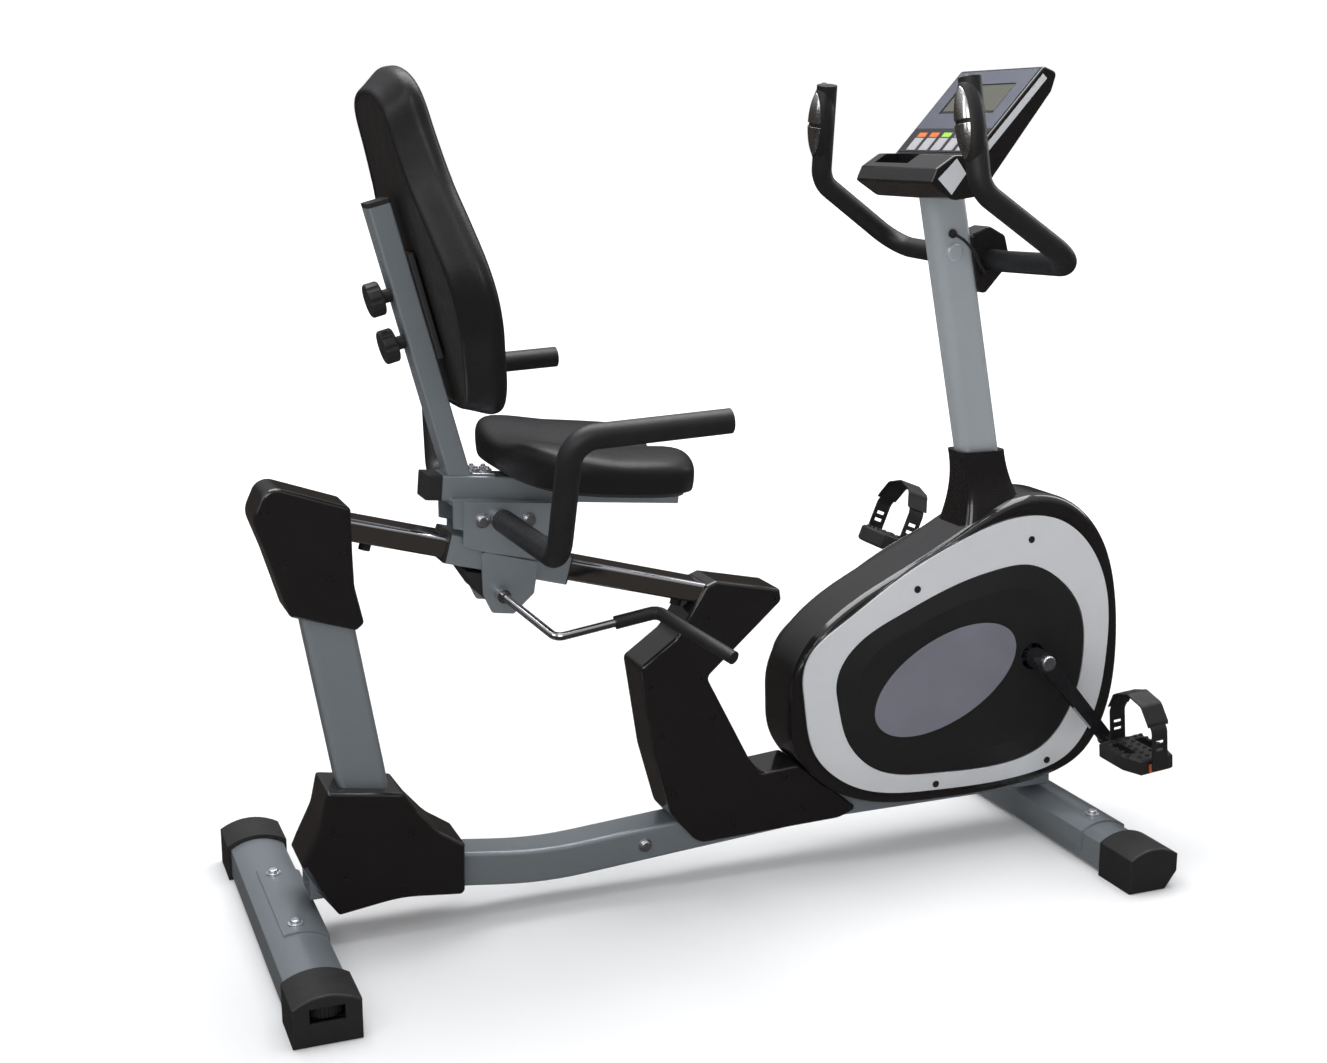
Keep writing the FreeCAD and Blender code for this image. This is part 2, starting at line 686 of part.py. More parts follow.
def boot_solid(extra=0.0):
    """The flared boot at the foot of the mast."""
    rings = [
        mast_ring(BOOT_LOW_Z, 98 + 2 * extra, 150 + 2 * extra, 22),
        mast_ring(520.0, 84 + 2 * extra, 108 + 2 * extra, 20),
        mast_ring(560.0, 66 + 2 * extra, 86 + 2 * extra, 18),
        mast_ring(BOOT_TOP_Z, 56 + 2 * extra, 77 + 2 * extra, 15),
    ]
    return Part.makeLoft(rings, True, False)


def mast_boot():
    """The boot, hollow for the mast and trimmed to sit on the housing."""
    boot = boot_solid()
    return biggest(boot.cut(mast_bar(FIT_GAP, BOOT_LOW_Z - 30)))


def mast_bar(extra=0.0, foot_z=MAST_FOOT_Z):
    """The mast as a plain bar with wide rounded corners."""
    path = [(mast_x(foot_z), foot_z), (mast_x(MAST_TOP_Z), MAST_TOP_Z)]
    return bar_along(path, MAST_W + 2 * extra, MAST_D + 2 * extra, 14.0 + extra)


def mast():
    """The mast tube, with the two holes of the pulse cable's grommet and boss."""
    inner = bar_along([(mast_x(MAST_FOOT_Z - 5), MAST_FOOT_Z - 5), (mast_x(MAST_TOP_Z + 5), MAST_TOP_Z + 5)],
                      MAST_W - 4, MAST_D - 4, 12.0)
    boss = rod_y(BOSS, BOSS_R, -MAST_W / 2 - BOSS_RISE, -MAST_W / 2 + 1)
    boss = soften(boss, BOSS_RISE - 0.6, flat_at_y(-MAST_W / 2 - BOSS_RISE))
    return mast_bar().fuse(boss).cut(inner).cut(rod_y(GROMMET, GROMMET_HOLE_R, -40, 0))


GROMMET = (1038.0, 934.0)
GROMMET_HOLE_R = 4.5
BOSS = (1043.0, 907.0)
BOSS_R = 13.0
BOSS_RISE = 4.0

CONSOLE_HALF = 110.0
# side outline of the console: tray lip, tray, face, top, back and keel
CONSOLE = [(948, 1008), (957, 1028), (985, 1046), (1013, 1046), (1122, 1166), (1144, 1158),
           (1136, 1132), (1052, 1022), (1030, 990), (985, 984)]
CONSOLE_R = [4, 6, 10, 4, 5, 7, 10, 40, 14, 20]
FACE_START = V(1013, 0, 1046)
FACE_DIR = (V(1122, 0, 1166) - FACE_START).normalize()
FACE_NORMAL = V(-FACE_DIR.z, 0, FACE_DIR.x)
KEY_PITCH = 35.0
KEY_SIZE = (25.0, 23.0)
KEY_ROW = 17.5             # distance of the keys' middle up the face
SCREEN = (76.0, 132.0, 74.0)


def face_block(low, high, half, sink, rise, shift=0.0):
    """A block on the console's sloping face: low and high up the face, half its width."""
    corner = FACE_START + FACE_DIR * low - FACE_NORMAL * sink + V(0, shift - half, 0)
    wire = Part.makePolygon([corner, corner + FACE_DIR * (high - low),
                             corner + FACE_DIR * (high - low) + V(0, 2 * half, 0),
                             corner + V(0, 2 * half, 0), corner])
    return Part.Face(wire).extrude(FACE_NORMAL * (sink + rise))


def console_case():
    """The black console body with its tray, hollow behind the face."""
    body = prism(rounded_outline(CONSOLE, CONSOLE_R, -CONSOLE_HALF), 2 * CONSOLE_HALF)
    body = soften(body, 3.0, flat_at_y(-CONSOLE_HALF))
    body = soften(body, 3.0, flat_at_y(CONSOLE_HALF))
    hollow = face_block(14.0, 150.0, 96.0, 22.0, -6.0)
    body = body.cut(hollow)
    tray = box((966, 1006), (-12, 86), (1027, 1060))
    body = body.cut(tray)
    body = body.cut(face_block(3.0, 158.0, 104.0, 2.5, 3.0))
    for i in range(5):
        body = body.cut(key_well(i))
    body = body.cut(face_block(SCREEN[0], SCREEN[1], SCREEN[2], 9.0, 4.0))
    return biggest(body.cut(mast_bar(0.3)))


def key_shift(i):
    """Y of key i's middle; key 0 is on the rider's left."""
    return (2 - i) * KEY_PITCH


def key_well(i, gap=0.35):
    """The opening that a key moves in."""
    half = KEY_SIZE[0] / 2 + gap
    return face_block(KEY_ROW - KEY_SIZE[1] / 2 - gap, KEY_ROW + KEY_SIZE[1] / 2 + gap, half, 9.0, 4.0,
                      key_shift(i))


def console_face():
    """The grey panel let into the console, open at the screen and the keys."""
    panel = face_block(3.3, 157.7, 103.7, 2.5, 0.6)
    panel = panel.cut(face_block(SCREEN[0] - 0.2, SCREEN[1] + 0.2, SCREEN[2] + 0.2, 9.0, 4.0))
    for i in range(5):
        panel = panel.cut(key_well(i))
    return panel


def console_screen():
    """The screen pane, a little below the panel."""
    return face_block(SCREEN[0], SCREEN[1], SCREEN[2], 2.5, -0.6)


def key(i):
    """One push key, standing just proud of the panel."""
    low = KEY_ROW - KEY_SIZE[1] / 2
    high = KEY_ROW + KEY_SIZE[1] / 2
    return face_block(low, high, KEY_SIZE[0] / 2, 4.0, 1.6, key_shift(i))


CLAMP_OUTLINE = [(1070, 932), (1100, 944), (1127, 930), (1134, 905), (1126, 878), (1097, 846), (1084, 850)]


def clamp_cover():
    """The plastic cover round the handlebar's clamp, open on the mast side and at the sides."""
    body = prism(rounded_outline(CLAMP_OUTLINE, 8.0, -22), 44)
    body = soften(body, 3.0, flat_at_y(-22))
    body = soften(body, 3.0, flat_at_y(22))
    body = body.cut(mast_bar(0.2)).cut(cable_bar(CABLE_R + 0.2))
    return biggest(body.cut(rod_y(BAR_CENTRE, BAR_R + 0.08, -30, 30)))


BAR_POINTS = [(BAR_CENTRE[0], 0, BAR_CENTRE[1]), (BAR_CENTRE[0] - 6, 246, BAR_CENTRE[1] + 6),
              (952, 232, 1003), (946, 205, 1146)]


SENSOR_MIDDLE = 88.0        # from the bend up the grip
PAD_SIZE = (62.0, 21.0, 19.0)
LEAF_SIZE = (54.0, 19.0, 18.0)
PAD_OFF = 5.0
LEAF_OFF = 8.5


def grip_egg(size, off):
    """A long rounded swelling on the rear of the left grip."""
    base = V(*BAR_POINTS[2])
    along = (V(*BAR_POINTS[3]) - base).normalize()
    rear = V(-1, 0, 0)
    rear = (rear - along * rear.dot(along)).normalize()
    across = along.cross(rear)
    centre = base + along * SENSOR_MIDDLE + rear * off
    m = FreeCAD.Matrix(along.x * size[0], across.x * size[1], rear.x * size[2], centre.x,
                       along.y * size[0], across.y * size[1], rear.y * size[2], centre.y,
                       along.z * size[0], across.z * size[1], rear.z * size[2], centre.z,
                       0, 0, 0, 1)
    return Part.makeSphere(1.0).transformGeometry(m)


def handlebar():
    """The handlebar, foam covered, bent out, back and up on each side, with swollen grips."""
    half = [BAR_POINTS[0], (BAR_CENTRE[0], 60, BAR_CENTRE[1])] + BAR_POINTS[1:]
    left = round_bar(half, BAR_R, 42.0)
    tip = Part.makeSphere(BAR_R, V(*BAR_POINTS[3]))
    left = left.fuse([grip_egg(PAD_SIZE, PAD_OFF), tip])
    return left.fuse(mirrored(left)).removeSplitter()


def hand_sensors():
    """Two chromed leaf halves on the rear of each grip."""
    base = V(*BAR_POINTS[2])
    along = (V(*BAR_POINTS[3]) - base).normalize()
    leaf = grip_egg(LEAF_SIZE, LEAF_OFF).cut(handlebar())
    gap = 3.0
    pieces = []
    for sign in (-1, 1):
        start = base + along * (SENSOR_MIDDLE + sign * gap)
        half = biggest(leaf.common(Part.makeCylinder(60.0, 80.0, start, along * sign)))
        pieces.append(half)
        pieces.append(mirrored(half))
    return pieces


CABLE_R = 2.2
CABLE_PATH = [(1038, -14, 934), (1038, -31, 933), (1053, -36, 923), (1067, -37, 907), (1078, -35, 889),
              (1091, -31, 875), (1091, -14, 873)]


def easy_path(points):
    """Straight runs joined by arcs that are each as wide as their two runs allow."""
    points = [V(*p) for p in points]
    edges = []
    last = points[0]
    for before, corner, after in zip(points, points[1:], points[2:]):
        shorter = min((corner - before).Length, (after - corner).Length)
        half_turn = (corner - before).getAngle(after - corner) / 2
        radius = 0.45 * shorter / math.tan(half_turn)
        start, middle, end = fillet_corner(before, corner, after, radius)
        edges.append(Part.makeLine(last, start))
        edges.append(Part.Arc(start, middle, end).toShape())
        last = end
    edges.append(Part.makeLine(last, points[-1]))
    return Part.Wire(edges)


def cable_bar(radius):
    """The pulse cable's run from the mast to the clamp cover."""
    start = V(*CABLE_PATH[0])
    section = Part.Wire(Part.makeCircle(radius, start, V(*CABLE_PATH[1]) - start))
    return easy_path(CABLE_PATH).makePipeShell([section], True, False)


def pulse_cable():
    """The pulse cable, and the ball grommet where it leaves the mast."""
    ball = Part.makeSphere(6.5, V(GROMMET[0], -MAST_W / 2 - 2, GROMMET[1]))
    ball = ball.cut(mast_bar())
    neck = rod_y(GROMMET, GROMMET_HOLE_R, -MAST_W / 2 - 1, -MAST_W / 2 + 4)
    return [cable_bar(CABLE_R), ball.fuse(neck).cut(cable_bar(CABLE_R))]


def carriage_bar(along, width, height, radius):
    """A bar round the rail, between two places along it."""
    return bar_along([rail_at(along[0]), rail_at(along[1])], width, height, radius)


UPRIGHT_Y = (41.0, 45.0)
UPRIGHT = [(296, 540), (297, 600), (436, 588), (436, 505), (330, 528)]
LOCK_PLATE = [(320, 530), (400, 509), (393, 466), (364, 440), (334, 444), (322, 470)]
HANDLE_AT = (346.0, 574.0)
SUPPORT_BOLTS = [(322.0, 573.0), (386.0, 569.0)]


def carriage_sleeve():
    """The sleeve on the rail, its upright channel plates and the lock bracket's cheeks."""
    outer = carriage_bar(SLEEVE, SLEEVE_W, SLEEVE_H, 5.0)
    inner = carriage_bar((SLEEVE[0] - 5, SLEEVE[1] + 5), SLEEVE_W - 2 * SLEEVE_WALL,
                         SLEEVE_H - 2 * SLEEVE_WALL, 3.0)
    sleeve = outer.cut(inner)
    for side in (-1, 1):
        y0 = min(side * UPRIGHT_Y[0], side * UPRIGHT_Y[1])
        upright = prism(rounded_outline(UPRIGHT, 2.0, y0), UPRIGHT_Y[1] - UPRIGHT_Y[0])
        filler_y = (34.0, UPRIGHT_Y[0]) if side > 0 else (-UPRIGHT_Y[0], -34.0)
        sill = carriage_bar((-52, 80), 2 * UPRIGHT_Y[1], 8.0, 1.0)
        sill.translate(V(0, 0, 16.5))
        sill = sill.common(box((200, 500), filler_y, (400, 700)))
        cheek_y0 = 38.0 if side > 0 else -42.0
        cheek = prism(rounded_outline(LOCK_PLATE, 5.0, cheek_y0), 4.0)
        sleeve = sleeve.fuse(upright.cut(outer)).fuse(sill.cut(outer)).fuse(cheek)
    sleeve = sleeve.cut(inner)
    for at in SUPPORT_BOLTS:
        sleeve = sleeve.cut(rod_y(at, BOLT_R + 0.15, -60, 60))
    sleeve = sleeve.cut(rod_y(HANDLE_AT, 13.0 + 0.1, -60, 60))
    sleeve = sleeve.cut(rod_y(LEVER_PIVOT, LEVER_R + RUNNING, -60, 60))
    return biggest(sleeve)


LEVER_R = 6.0


LOCK_PAD = [(296, 504), (332, 496), (332, 456), (318, 470)]


def carriage_glides():
    """Plastic liners between the sleeve and the rail, one at each end, with a rim outside, and
    the plastic lock block between the bracket's cheeks."""
    pieces = []
    for low, high in ((SLEEVE[0] - 2, SLEEVE[0] + 45), (SLEEVE[1] - 45, SLEEVE[1] + 2)):
        liner = carriage_bar((low, high), SLEEVE_W - 2 * SLEEVE_WALL, SLEEVE_H - 2 * SLEEVE_WALL, 3.0)
        rim_at = (low, low + 2) if low < 0 else (high - 2, high)
        liner = liner.fuse(carriage_bar(rim_at, SLEEVE_W, SLEEVE_H, 5.0))
        bore = rail_bar(GLIDE_GAP, (low - 5, high + 5))
        pieces.append(liner.cut(bore))
    pieces.append(prism(rounded_outline(LOCK_PAD, 3.0, -36), 72))
    return pieces


def seat_frame():
    """The seat's square tube with a down-turned channel between the carriage's plates."""
    tube = tube_along(list(SEAT_TUBE), SEAT_TUBE_W, SEAT_TUBE_H, 3.0, 2.0)
    outline = [(284, 548), (284, 603), (428, 590), (428, 520), (410, 520)]
    channel = prism(rounded_outline(outline, 2.0, -40.6), 81.2)
    channel = channel.cut(box((200, 500), (-36.6, 36.6), (400, 594)))
    channel = channel.cut(bar_along(list(SEAT_TUBE), SEAT_TUBE_W, SEAT_TUBE_H, 3.0))
    channel = channel.cut(carriage_bar((-120, 120), SLEEVE_W + 20, SLEEVE_H + 8.6 + 8.0, 1.0))
    for at in SUPPORT_BOLTS:
        channel = channel.cut(rod_y(at, BOLT_R + 0.15, -60, 60))
    channel = channel.cut(rod_y(HANDLE_AT, 13.0 + 0.1, -60, 60))
    pieces = [tube]
    pieces += [solid for solid in channel.Solids if solid.Volume > 500]
    return pieces


def back_post():
    """The leaning back post, slotted front and rear for the backrest's bolts."""
    path = [back_at(-30), back_at(BACK_TOP)]
    tube = tube_along(path, BACK_W, BACK_D, 3.0, 2.0)
    tube = biggest(tube.cut(bar_along(list(SEAT_TUBE), SEAT_TUBE_W + 20, SEAT_TUBE_H, 1.0)).cut(
        box((200, 420), (-60, 60), (500, 612))))
    slot = bar_along([back_at(SLOT[0], -60), back_at(SLOT[0], 60)], 9.0, 9.0, 4.4)
    for along in range(int(SLOT[0]) + 4, int(SLOT[1]) - 3, 8):
        slot = slot.fuse(bar_along([back_at(along, -60), back_at(along, 60)], 9.0, 12.0, 0.5))
    return tube.cut(slot)


def tube_caps():
    """Black plugs in the open ends of the seat tube and the back post."""
    slope = (SEAT_TUBE[1][1] - SEAT_TUBE[0][1]) / (SEAT_TUBE[1][0] - SEAT_TUBE[0][0])
    cap_length = 21.0
    rear = bar_along([(SEAT_TUBE[0][0] - cap_length, SEAT_TUBE[0][1] - slope * cap_length), SEAT_TUBE[0]], SEAT_TUBE_W,
                     SEAT_TUBE_H, 3.0)
    top = bar_along([back_at(BACK_TOP), back_at(BACK_TOP + 6)], BACK_W, BACK_D, 3.0)
    return [rear, top]


SEAT_PLAN = [(350, 0), (351, 60), (356, 105), (369, 148), (393, 181), (430, 196), (490, 196),
             (540, 187), (575, 165), (592, 125), (596, 85), (590, 35), (587, 0)]
SEAT_BASE_Z = (628.0, 606.0)


def seat_outline(z_rise, scale):
    """The seat's closed plan at a height over its sloping base, scaled about its middle."""
    middle_x = 478.0
    points = []
    for x, y in SEAT_PLAN:
        points.append((x, y))
    for x, y in reversed(SEAT_PLAN[1:-1]):
        points.append((x, -y))
    placed = []
    for x, y in points:
        sx = middle_x + (x - middle_x) * scale
        slope = (SEAT_BASE_Z[1] - SEAT_BASE_Z[0]) / 220.0
        base_z = SEAT_BASE_Z[0] + slope * (sx - 370.0)
        placed.append(V(sx, y * scale, base_z + z_rise))
    curve = Part.BSplineCurve()
    curve.interpolate(Points=placed, PeriodicFlag=True)
    return Part.Wire(curve.toShape())


def seat_cushion():
    """The padded seat as a plain closed solid on its pan."""
    rings = [seat_outline(5.2, 0.93), seat_outline(22.0, 1.0), seat_outline(44.0, 0.985),
             seat_outline(58.0, 0.86)]
    return Part.makeLoft(rings, True, False)


def seat_pan():
    """The flat board under the seat cushion."""
    plan = Part.makeLoft([seat_outline(0.2, 0.90), seat_outline(5.0, 0.91)], True, True)
    return plan


BACK_PAD_BASE = 68.0       # along the back post's line from BACK_FOOT to the pad's lower edge
BACK_OUTLINE = [(0, 0), (2, 48), (14, 80), (45, 117), (90, 153), (130, 185), (172, 199), (215, 190),
                (263, 163), (320, 127), (380, 108), (425, 102), (447, 84), (459, 46), (461, 0)]
PAD_BACK_OFF = 23.0


def back_ring(off, scale, sink=0.0):
    """The backrest's closed outline in a plane parallel to the back post."""
    middle = 222.0
    points = []
    for s, w in BACK_OUTLINE:
        points.append((s, w))
    for s, w in reversed(BACK_OUTLINE[1:-1]):
        points.append((s, -w))
    placed = []
    for s, w in points:
        along = BACK_PAD_BASE + middle + (s - middle) * scale
        x, z = back_at(along, off - sink * abs(s - middle) / middle)
        placed.append(V(x, w * scale, z))
    curve = Part.BSplineCurve()
    curve.interpolate(Points=placed, PeriodicFlag=True)
    return Part.Wire(curve.toShape())


def back_cushion():
    """The padded backrest as a plain closed solid."""
    rings = [back_ring(PAD_BACK_OFF + 0.2, 0.82), back_ring(PAD_BACK_OFF + 15, 0.93),
             back_ring(PAD_BACK_OFF + 32, 1.0), back_ring(PAD_BACK_OFF + 46, 0.96),
             back_ring(PAD_BACK_OFF + 54, 0.80)]
    return Part.makeLoft(rings, True, False)


def back_board():
    """The steel strap and threaded bosses behind the cushion, against the post."""
    start = back_at(BACK_PAD_BASE + 90, 19.2)
    end = back_at(BACK_PAD_BASE + 230, 19.2)
    plate = bar_along([start, end], 60.0, 7.4, 2.0)
    for along in KNOBS:
        hole = rod_in_back(along, 10, 30, KNOB_STEM_R + RUNNING)
        plate = plate.cut(hole)
    return plate


KNOB_STEM_R = 4.0


def rod_in_back(along, off0, off1, radius):
    """A round bar square to the back post."""
    x0, z0 = back_at(along, off0)
    x1, z1 = back_at(along, off1)
    return rod((x0, 0, z0), (x1, 0, z1), radius)


def knob(along):
    """A fluted knob on a threaded stem through the post's slot."""
    wheel = rod_in_back(along, -47, -28, 22.5)
    wheel = soften(wheel, 3.0, lambda edge: edge.Curve.TypeId == "Part::GeomCircle")
    flute_count = 8
    x0, z0 = back_at(along, -48)
    x1, z1 = back_at(along, -27)
    centre = V(x0, 0, z0)
    axis = V(x1, 0, z1) - centre
    for i in range(flute_count):
        angle = 2 * math.pi * i / flute_count
        up = V(*[back_at(1)[0] - back_at(0)[0], 0, back_at(1)[1] - back_at(0)[1]])
        offset = up * (25.5 * math.cos(angle)) + Y_AXIS * (25.5 * math.sin(angle))
        wheel = wheel.cut(Part.makeCylinder(5.0, axis.Length, centre + offset, axis))
    neck = rod_in_back(along, -28, -15.6, 9.0)
    stem = rod_in_back(along, -40, 22.6, KNOB_STEM_R)
    return wheel.fuse(neck).fuse(stem)


HANDLE_POINTS = [(346, 0, 574), (346, 294, 574), (351, 334, 727), (549, 337, 737)]


def side_handles():
    """The steel bar of the side handles, through the carriage's plates."""
    middle = rod_y(HANDLE_AT, 13.0, -62, 62)
    half = round_bar([(346, 62, 574)] + HANDLE_POINTS[1:], 11.0, 34.0)
    return middle.fuse(half).fuse(mirrored(half))


def side_grips():
    """Foam covers over the side handles."""
    points = [(346, 62, 574)] + HANDLE_POINTS[1:]
    end = V(*HANDLE_POINTS[3])
    before = V(*HANDLE_POINTS[2])
    tip = end + (end - before).normalize() * 3
    outer = round_bar(points[:3] + [(tip.x, tip.y, tip.z)], HANDLE_R, 34.0)
    inner = round_bar(points, 11.0, 34.0)
    cover = outer.cut(inner)
    return [cover, mirrored(cover)]


LEVER_POINTS = [(346, -43, 470), (346, -66, 470), (388, -152, 433), (524, -166, 458), (580, -285, 423)]
LEVER_ROD_R = 5.5
LEVER_GRIP_R = 9.0


def lock_lever():
    """The bent lever with its pivot shaft, cam and collar."""
    shaft = rod_y(LEVER_PIVOT, LEVER_R, -66, 44)
    cam = rod_y((LEVER_PIVOT[0], LEVER_PIVOT[1] - 2), 11.0, -30, 30)
    collar = rod_y(LEVER_PIVOT, 9.5, -60, -42.4)
    bar = round_bar([(346, -60, 470)] + LEVER_POINTS[2:], LEVER_ROD_R, 16.0)
    return shaft.fuse(cam).fuse(collar).fuse(bar)


def lever_grip():
    """The foam grip on the lever's outer end."""
    points = [(346, -60, 470)] + LEVER_POINTS[2:]
    start = V(*points[1]).multiply(0.42) + V(*points[2]).multiply(0.58)
    tip = V(*points[3]) + (V(*points[3]) - V(*points[2])).normalize() * 3
    outer = round_bar([tuple(start), points[2], tuple(tip)], LEVER_GRIP_R, 16.0)
    return outer.cut(round_bar(points, LEVER_ROD_R, 16.0))


def crank_point(side):
    """Where a pedal's spindle is: the right crank points forward and down."""
    sign = 1 if side < 0 else -1
    return (CRANK[0] + sign * CRANK_LENGTH * math.cos(CRANK_ANGLE),
            CRANK[1] + sign * CRANK_LENGTH * math.sin(CRANK_ANGLE))


ARM_Y = (95.0, 108.0)
SPINDLE_R = 6.0
PEDAL_Y = (136.0, 228.0)
PEDAL_PITCH = {-1: -5.0, 1: 22.0}


def crank_arm(side):
    """One crank arm with its hub, bolt cap and pedal spindle; drawn pointing along +X."""
    hub = rod_y((0, 0), 16.0, 74, ARM_Y[1])
    eye = rod_y((CRANK_LENGTH, 0), 12.0, *ARM_Y)
    blade = Part.makePolygon([V(0, ARM_Y[0], 12.0), V(0, ARM_Y[0], -12.0),
                              V(CRANK_LENGTH, ARM_Y[0], -9.5), V(CRANK_LENGTH, ARM_Y[0], 9.5),
                              V(0, ARM_Y[0], 12.0)])
    arm = hub.fuse(eye).fuse(Part.Face(blade).extrude(V(0, ARM_Y[1] - ARM_Y[0], 0)))
    arm = arm.cut(rod_y((0, 0), AXLE_R, 60, ARM_Y[0] + 7))
    angle = math.degrees(CRANK_ANGLE)
    if side < 0:
        arm = mirrored(arm)
    else:
        angle += 180
    arm.rotate(V(0, 0, 0), Y_AXIS, -angle)
    arm.translate(V(CRANK[0], 0, CRANK[1]))
    return arm


def crank_arms():
    """Both crank arms and the pedal spindles."""
    pieces = []
    for side in (-1, 1):
        arm = crank_arm(side)
        inner, outer = ARM_Y[0] + 3, PEDAL_Y[1] - 10
        at = crank_point(side)
        if side < 0:
            spindle = rod_y(at, SPINDLE_R, -outer, -inner)
        else:
            spindle = rod_y(at, SPINDLE_R, inner, outer)
        pieces.append(arm.cut(spindle))
        pieces.append(spindle)
    return pieces


def crank_axle():
    """The axle through the bearing tube, the big belt pulley fixed to it and the arms' bolt caps."""
    axle = rod_y(CRANK, AXLE_R, -ARM_Y[0] - 7, ARM_Y[0] + 7)
    disc = rod_y(CRANK, PULLEY_R, BELT_Y[0] - 0.5, BELT_Y[1] + 0.5)
    for i in range(6):
        angle = math.radians(60 * i + 30)
        window = (CRANK[0] + 70 * math.cos(angle), CRANK[1] + 70 * math.sin(angle))
        disc = disc.cut(rod_y(window, 22.0, 20, 50))
    disc = disc.cut(rod_y(CRANK, AXLE_R, 20, 50))
    cap = soften(rod_y(CRANK, 11.5, -ARM_Y[1] - 6, -ARM_Y[1]), 2.5, flat_at_y(-ARM_Y[1] - 6))
    return [axle, disc, cap, mirrored(cap)]


def flywheel():
    """The flywheel with its hub and small belt pulley, on the fixed axle."""
    disc = rod_y(FLYWHEEL, FLYWHEEL_R, -14, 14)
    disc = disc.cut(rod_y(FLYWHEEL, FLYWHEEL_R - 22, -15, -6)).cut(rod_y(FLYWHEEL, FLYWHEEL_R - 22, 6, 15))
    hub = rod_y(FLYWHEEL, 17.0, -20, 20)
    small = rod_y(FLYWHEEL, SMALL_PULLEY_R, 18, BELT_Y[1] + 1)
    wheel = disc.fuse(hub).fuse(small)
    return wheel.cut(rod_y(FLYWHEEL, FLYWHEEL_AXLE_R + RUNNING, -60, 60))


def belt_wire(extra, y):
    """The belt's closed path round both pulleys, extra outside their rims."""
    big = V(CRANK[0], y, CRANK[1])
    small = V(FLYWHEEL[0], y, FLYWHEEL[1])
    r1 = PULLEY_R + extra
    r2 = SMALL_PULLEY_R + extra
    line = small - big
    heading = math.atan2(line.z, line.x)
    lean = math.acos((r1 - r2) / line.Length)
    ends = []
    for sign in (1, -1):
        angle = heading + sign * lean
        out = V(math.cos(angle), 0, math.sin(angle))
        ends.append((big + out * r1, small + out * r2))
    away = V(math.cos(heading), 0, math.sin(heading))
    edges = [
        Part.makeLine(ends[0][0], ends[0][1]),
        Part.Arc(ends[0][1], small + away * r2, ends[1][1]).toShape(),
        Part.makeLine(ends[1][1], ends[1][0]),
        Part.Arc(ends[1][0], big - away * r1, ends[0][0]).toShape(),
    ]
    return Part.Wire(edges)


def drive_belt():
    """The flat ribbed belt from the crank pulley to the flywheel."""
    y0 = BELT_Y[0] + 0.5
    width = BELT_Y[1] - BELT_Y[0] - 1
    outer = prism(belt_wire(BELT_GAP + BELT_T, y0), width)
    return outer.cut(prism(belt_wire(BELT_GAP, y0 - 1), width + 2))


def magnet_bracket():
    """The curved bracket with magnets that swings towards the flywheel's rim."""
    inner = rod_y(FLYWHEEL, FLYWHEEL_R + 2.5, -30, 30)
    outer = rod_y(FLYWHEEL, FLYWHEEL_R + 9.5, -18, 18)
    ring = outer.cut(inner)
    low = Part.makePolygon([V(FLYWHEEL[0], -40, FLYWHEEL[1]), V(FLYWHEEL[0] - 200, -40, FLYWHEEL[1] + 20),
                            V(FLYWHEEL[0] - 160, -40, FLYWHEEL[1] + 200),
                            V(FLYWHEEL[0] - 24, -40, FLYWHEEL[1] + 200),
                            V(FLYWHEEL[0], -40, FLYWHEEL[1])])
    arc = ring.common(Part.Face(low).extrude(V(0, 80, 0)))
    boss = rod_y(BRAKE_PIVOT, 9.0, -18, 18)
    body = arc.fuse(boss.cut(inner))
    return biggest(body.cut(rod_y(BRAKE_PIVOT, BRAKE_PIN_R + RUNNING, -40, 40)))


def brake_motor():
    """The small motor that pulls the brake bracket, on the floor tube."""
    body = soften(box((1052, 1104), (-20, 18), (117.2, 156)), 3.0, lambda edge: True)
    drum = rod_y((1078, 140), 9.0, -26, -20)
    return [body, drum]


def pedal(side):
    """A pedal platform with grip bars; drawn level about its spindle."""
    y0, y1 = PEDAL_Y
    plan = Part.makePolygon([V(-37, y0, -13), V(37, y0, -13), V(39, y1 - 34, -13), V(28, y1, -13),
                             V(-28, y1, -13), V(-39, y1 - 34, -13), V(-37, y0, -13)])
    body = Part.Face(plan).extrude(V(0, 0, 25))
    body = body.makeChamfer(3.0, [e for e in body.Edges if abs(e.BoundBox.ZMin - e.BoundBox.ZMax) < 0.1])
    for x0 in (-30.0, 14.0):
        body = body.cut(box((x0, x0 + 16), (y0 + 16, y1 - 30), (-20, 20)))
    knobs = []
    for i in range(6):
        y = y0 + 10 + i * 14
        for x in (-32.0, -22.0, -8.0, 8.0, 22.0, 32.0):
            in_window = abs(x) == 22.0 and 0 < i < 5
            if not in_window and abs(x) < 37 - 3 * max(0, i - 3):
                knobs.append(Part.makeCone(3.6, 2.6, 3.0, V(x, y, 11.8)))
    body = body.fuse(knobs)
    body = body.cut(rod_y((0, 0), SPINDLE_R + RUNNING, y0 - 5, y1 - 8))
    reflector = box((-16, 16), (y1, y1 + 2.5), (-9, 4))
    return [finish_pedal(body, side), finish_pedal(reflector, side)]


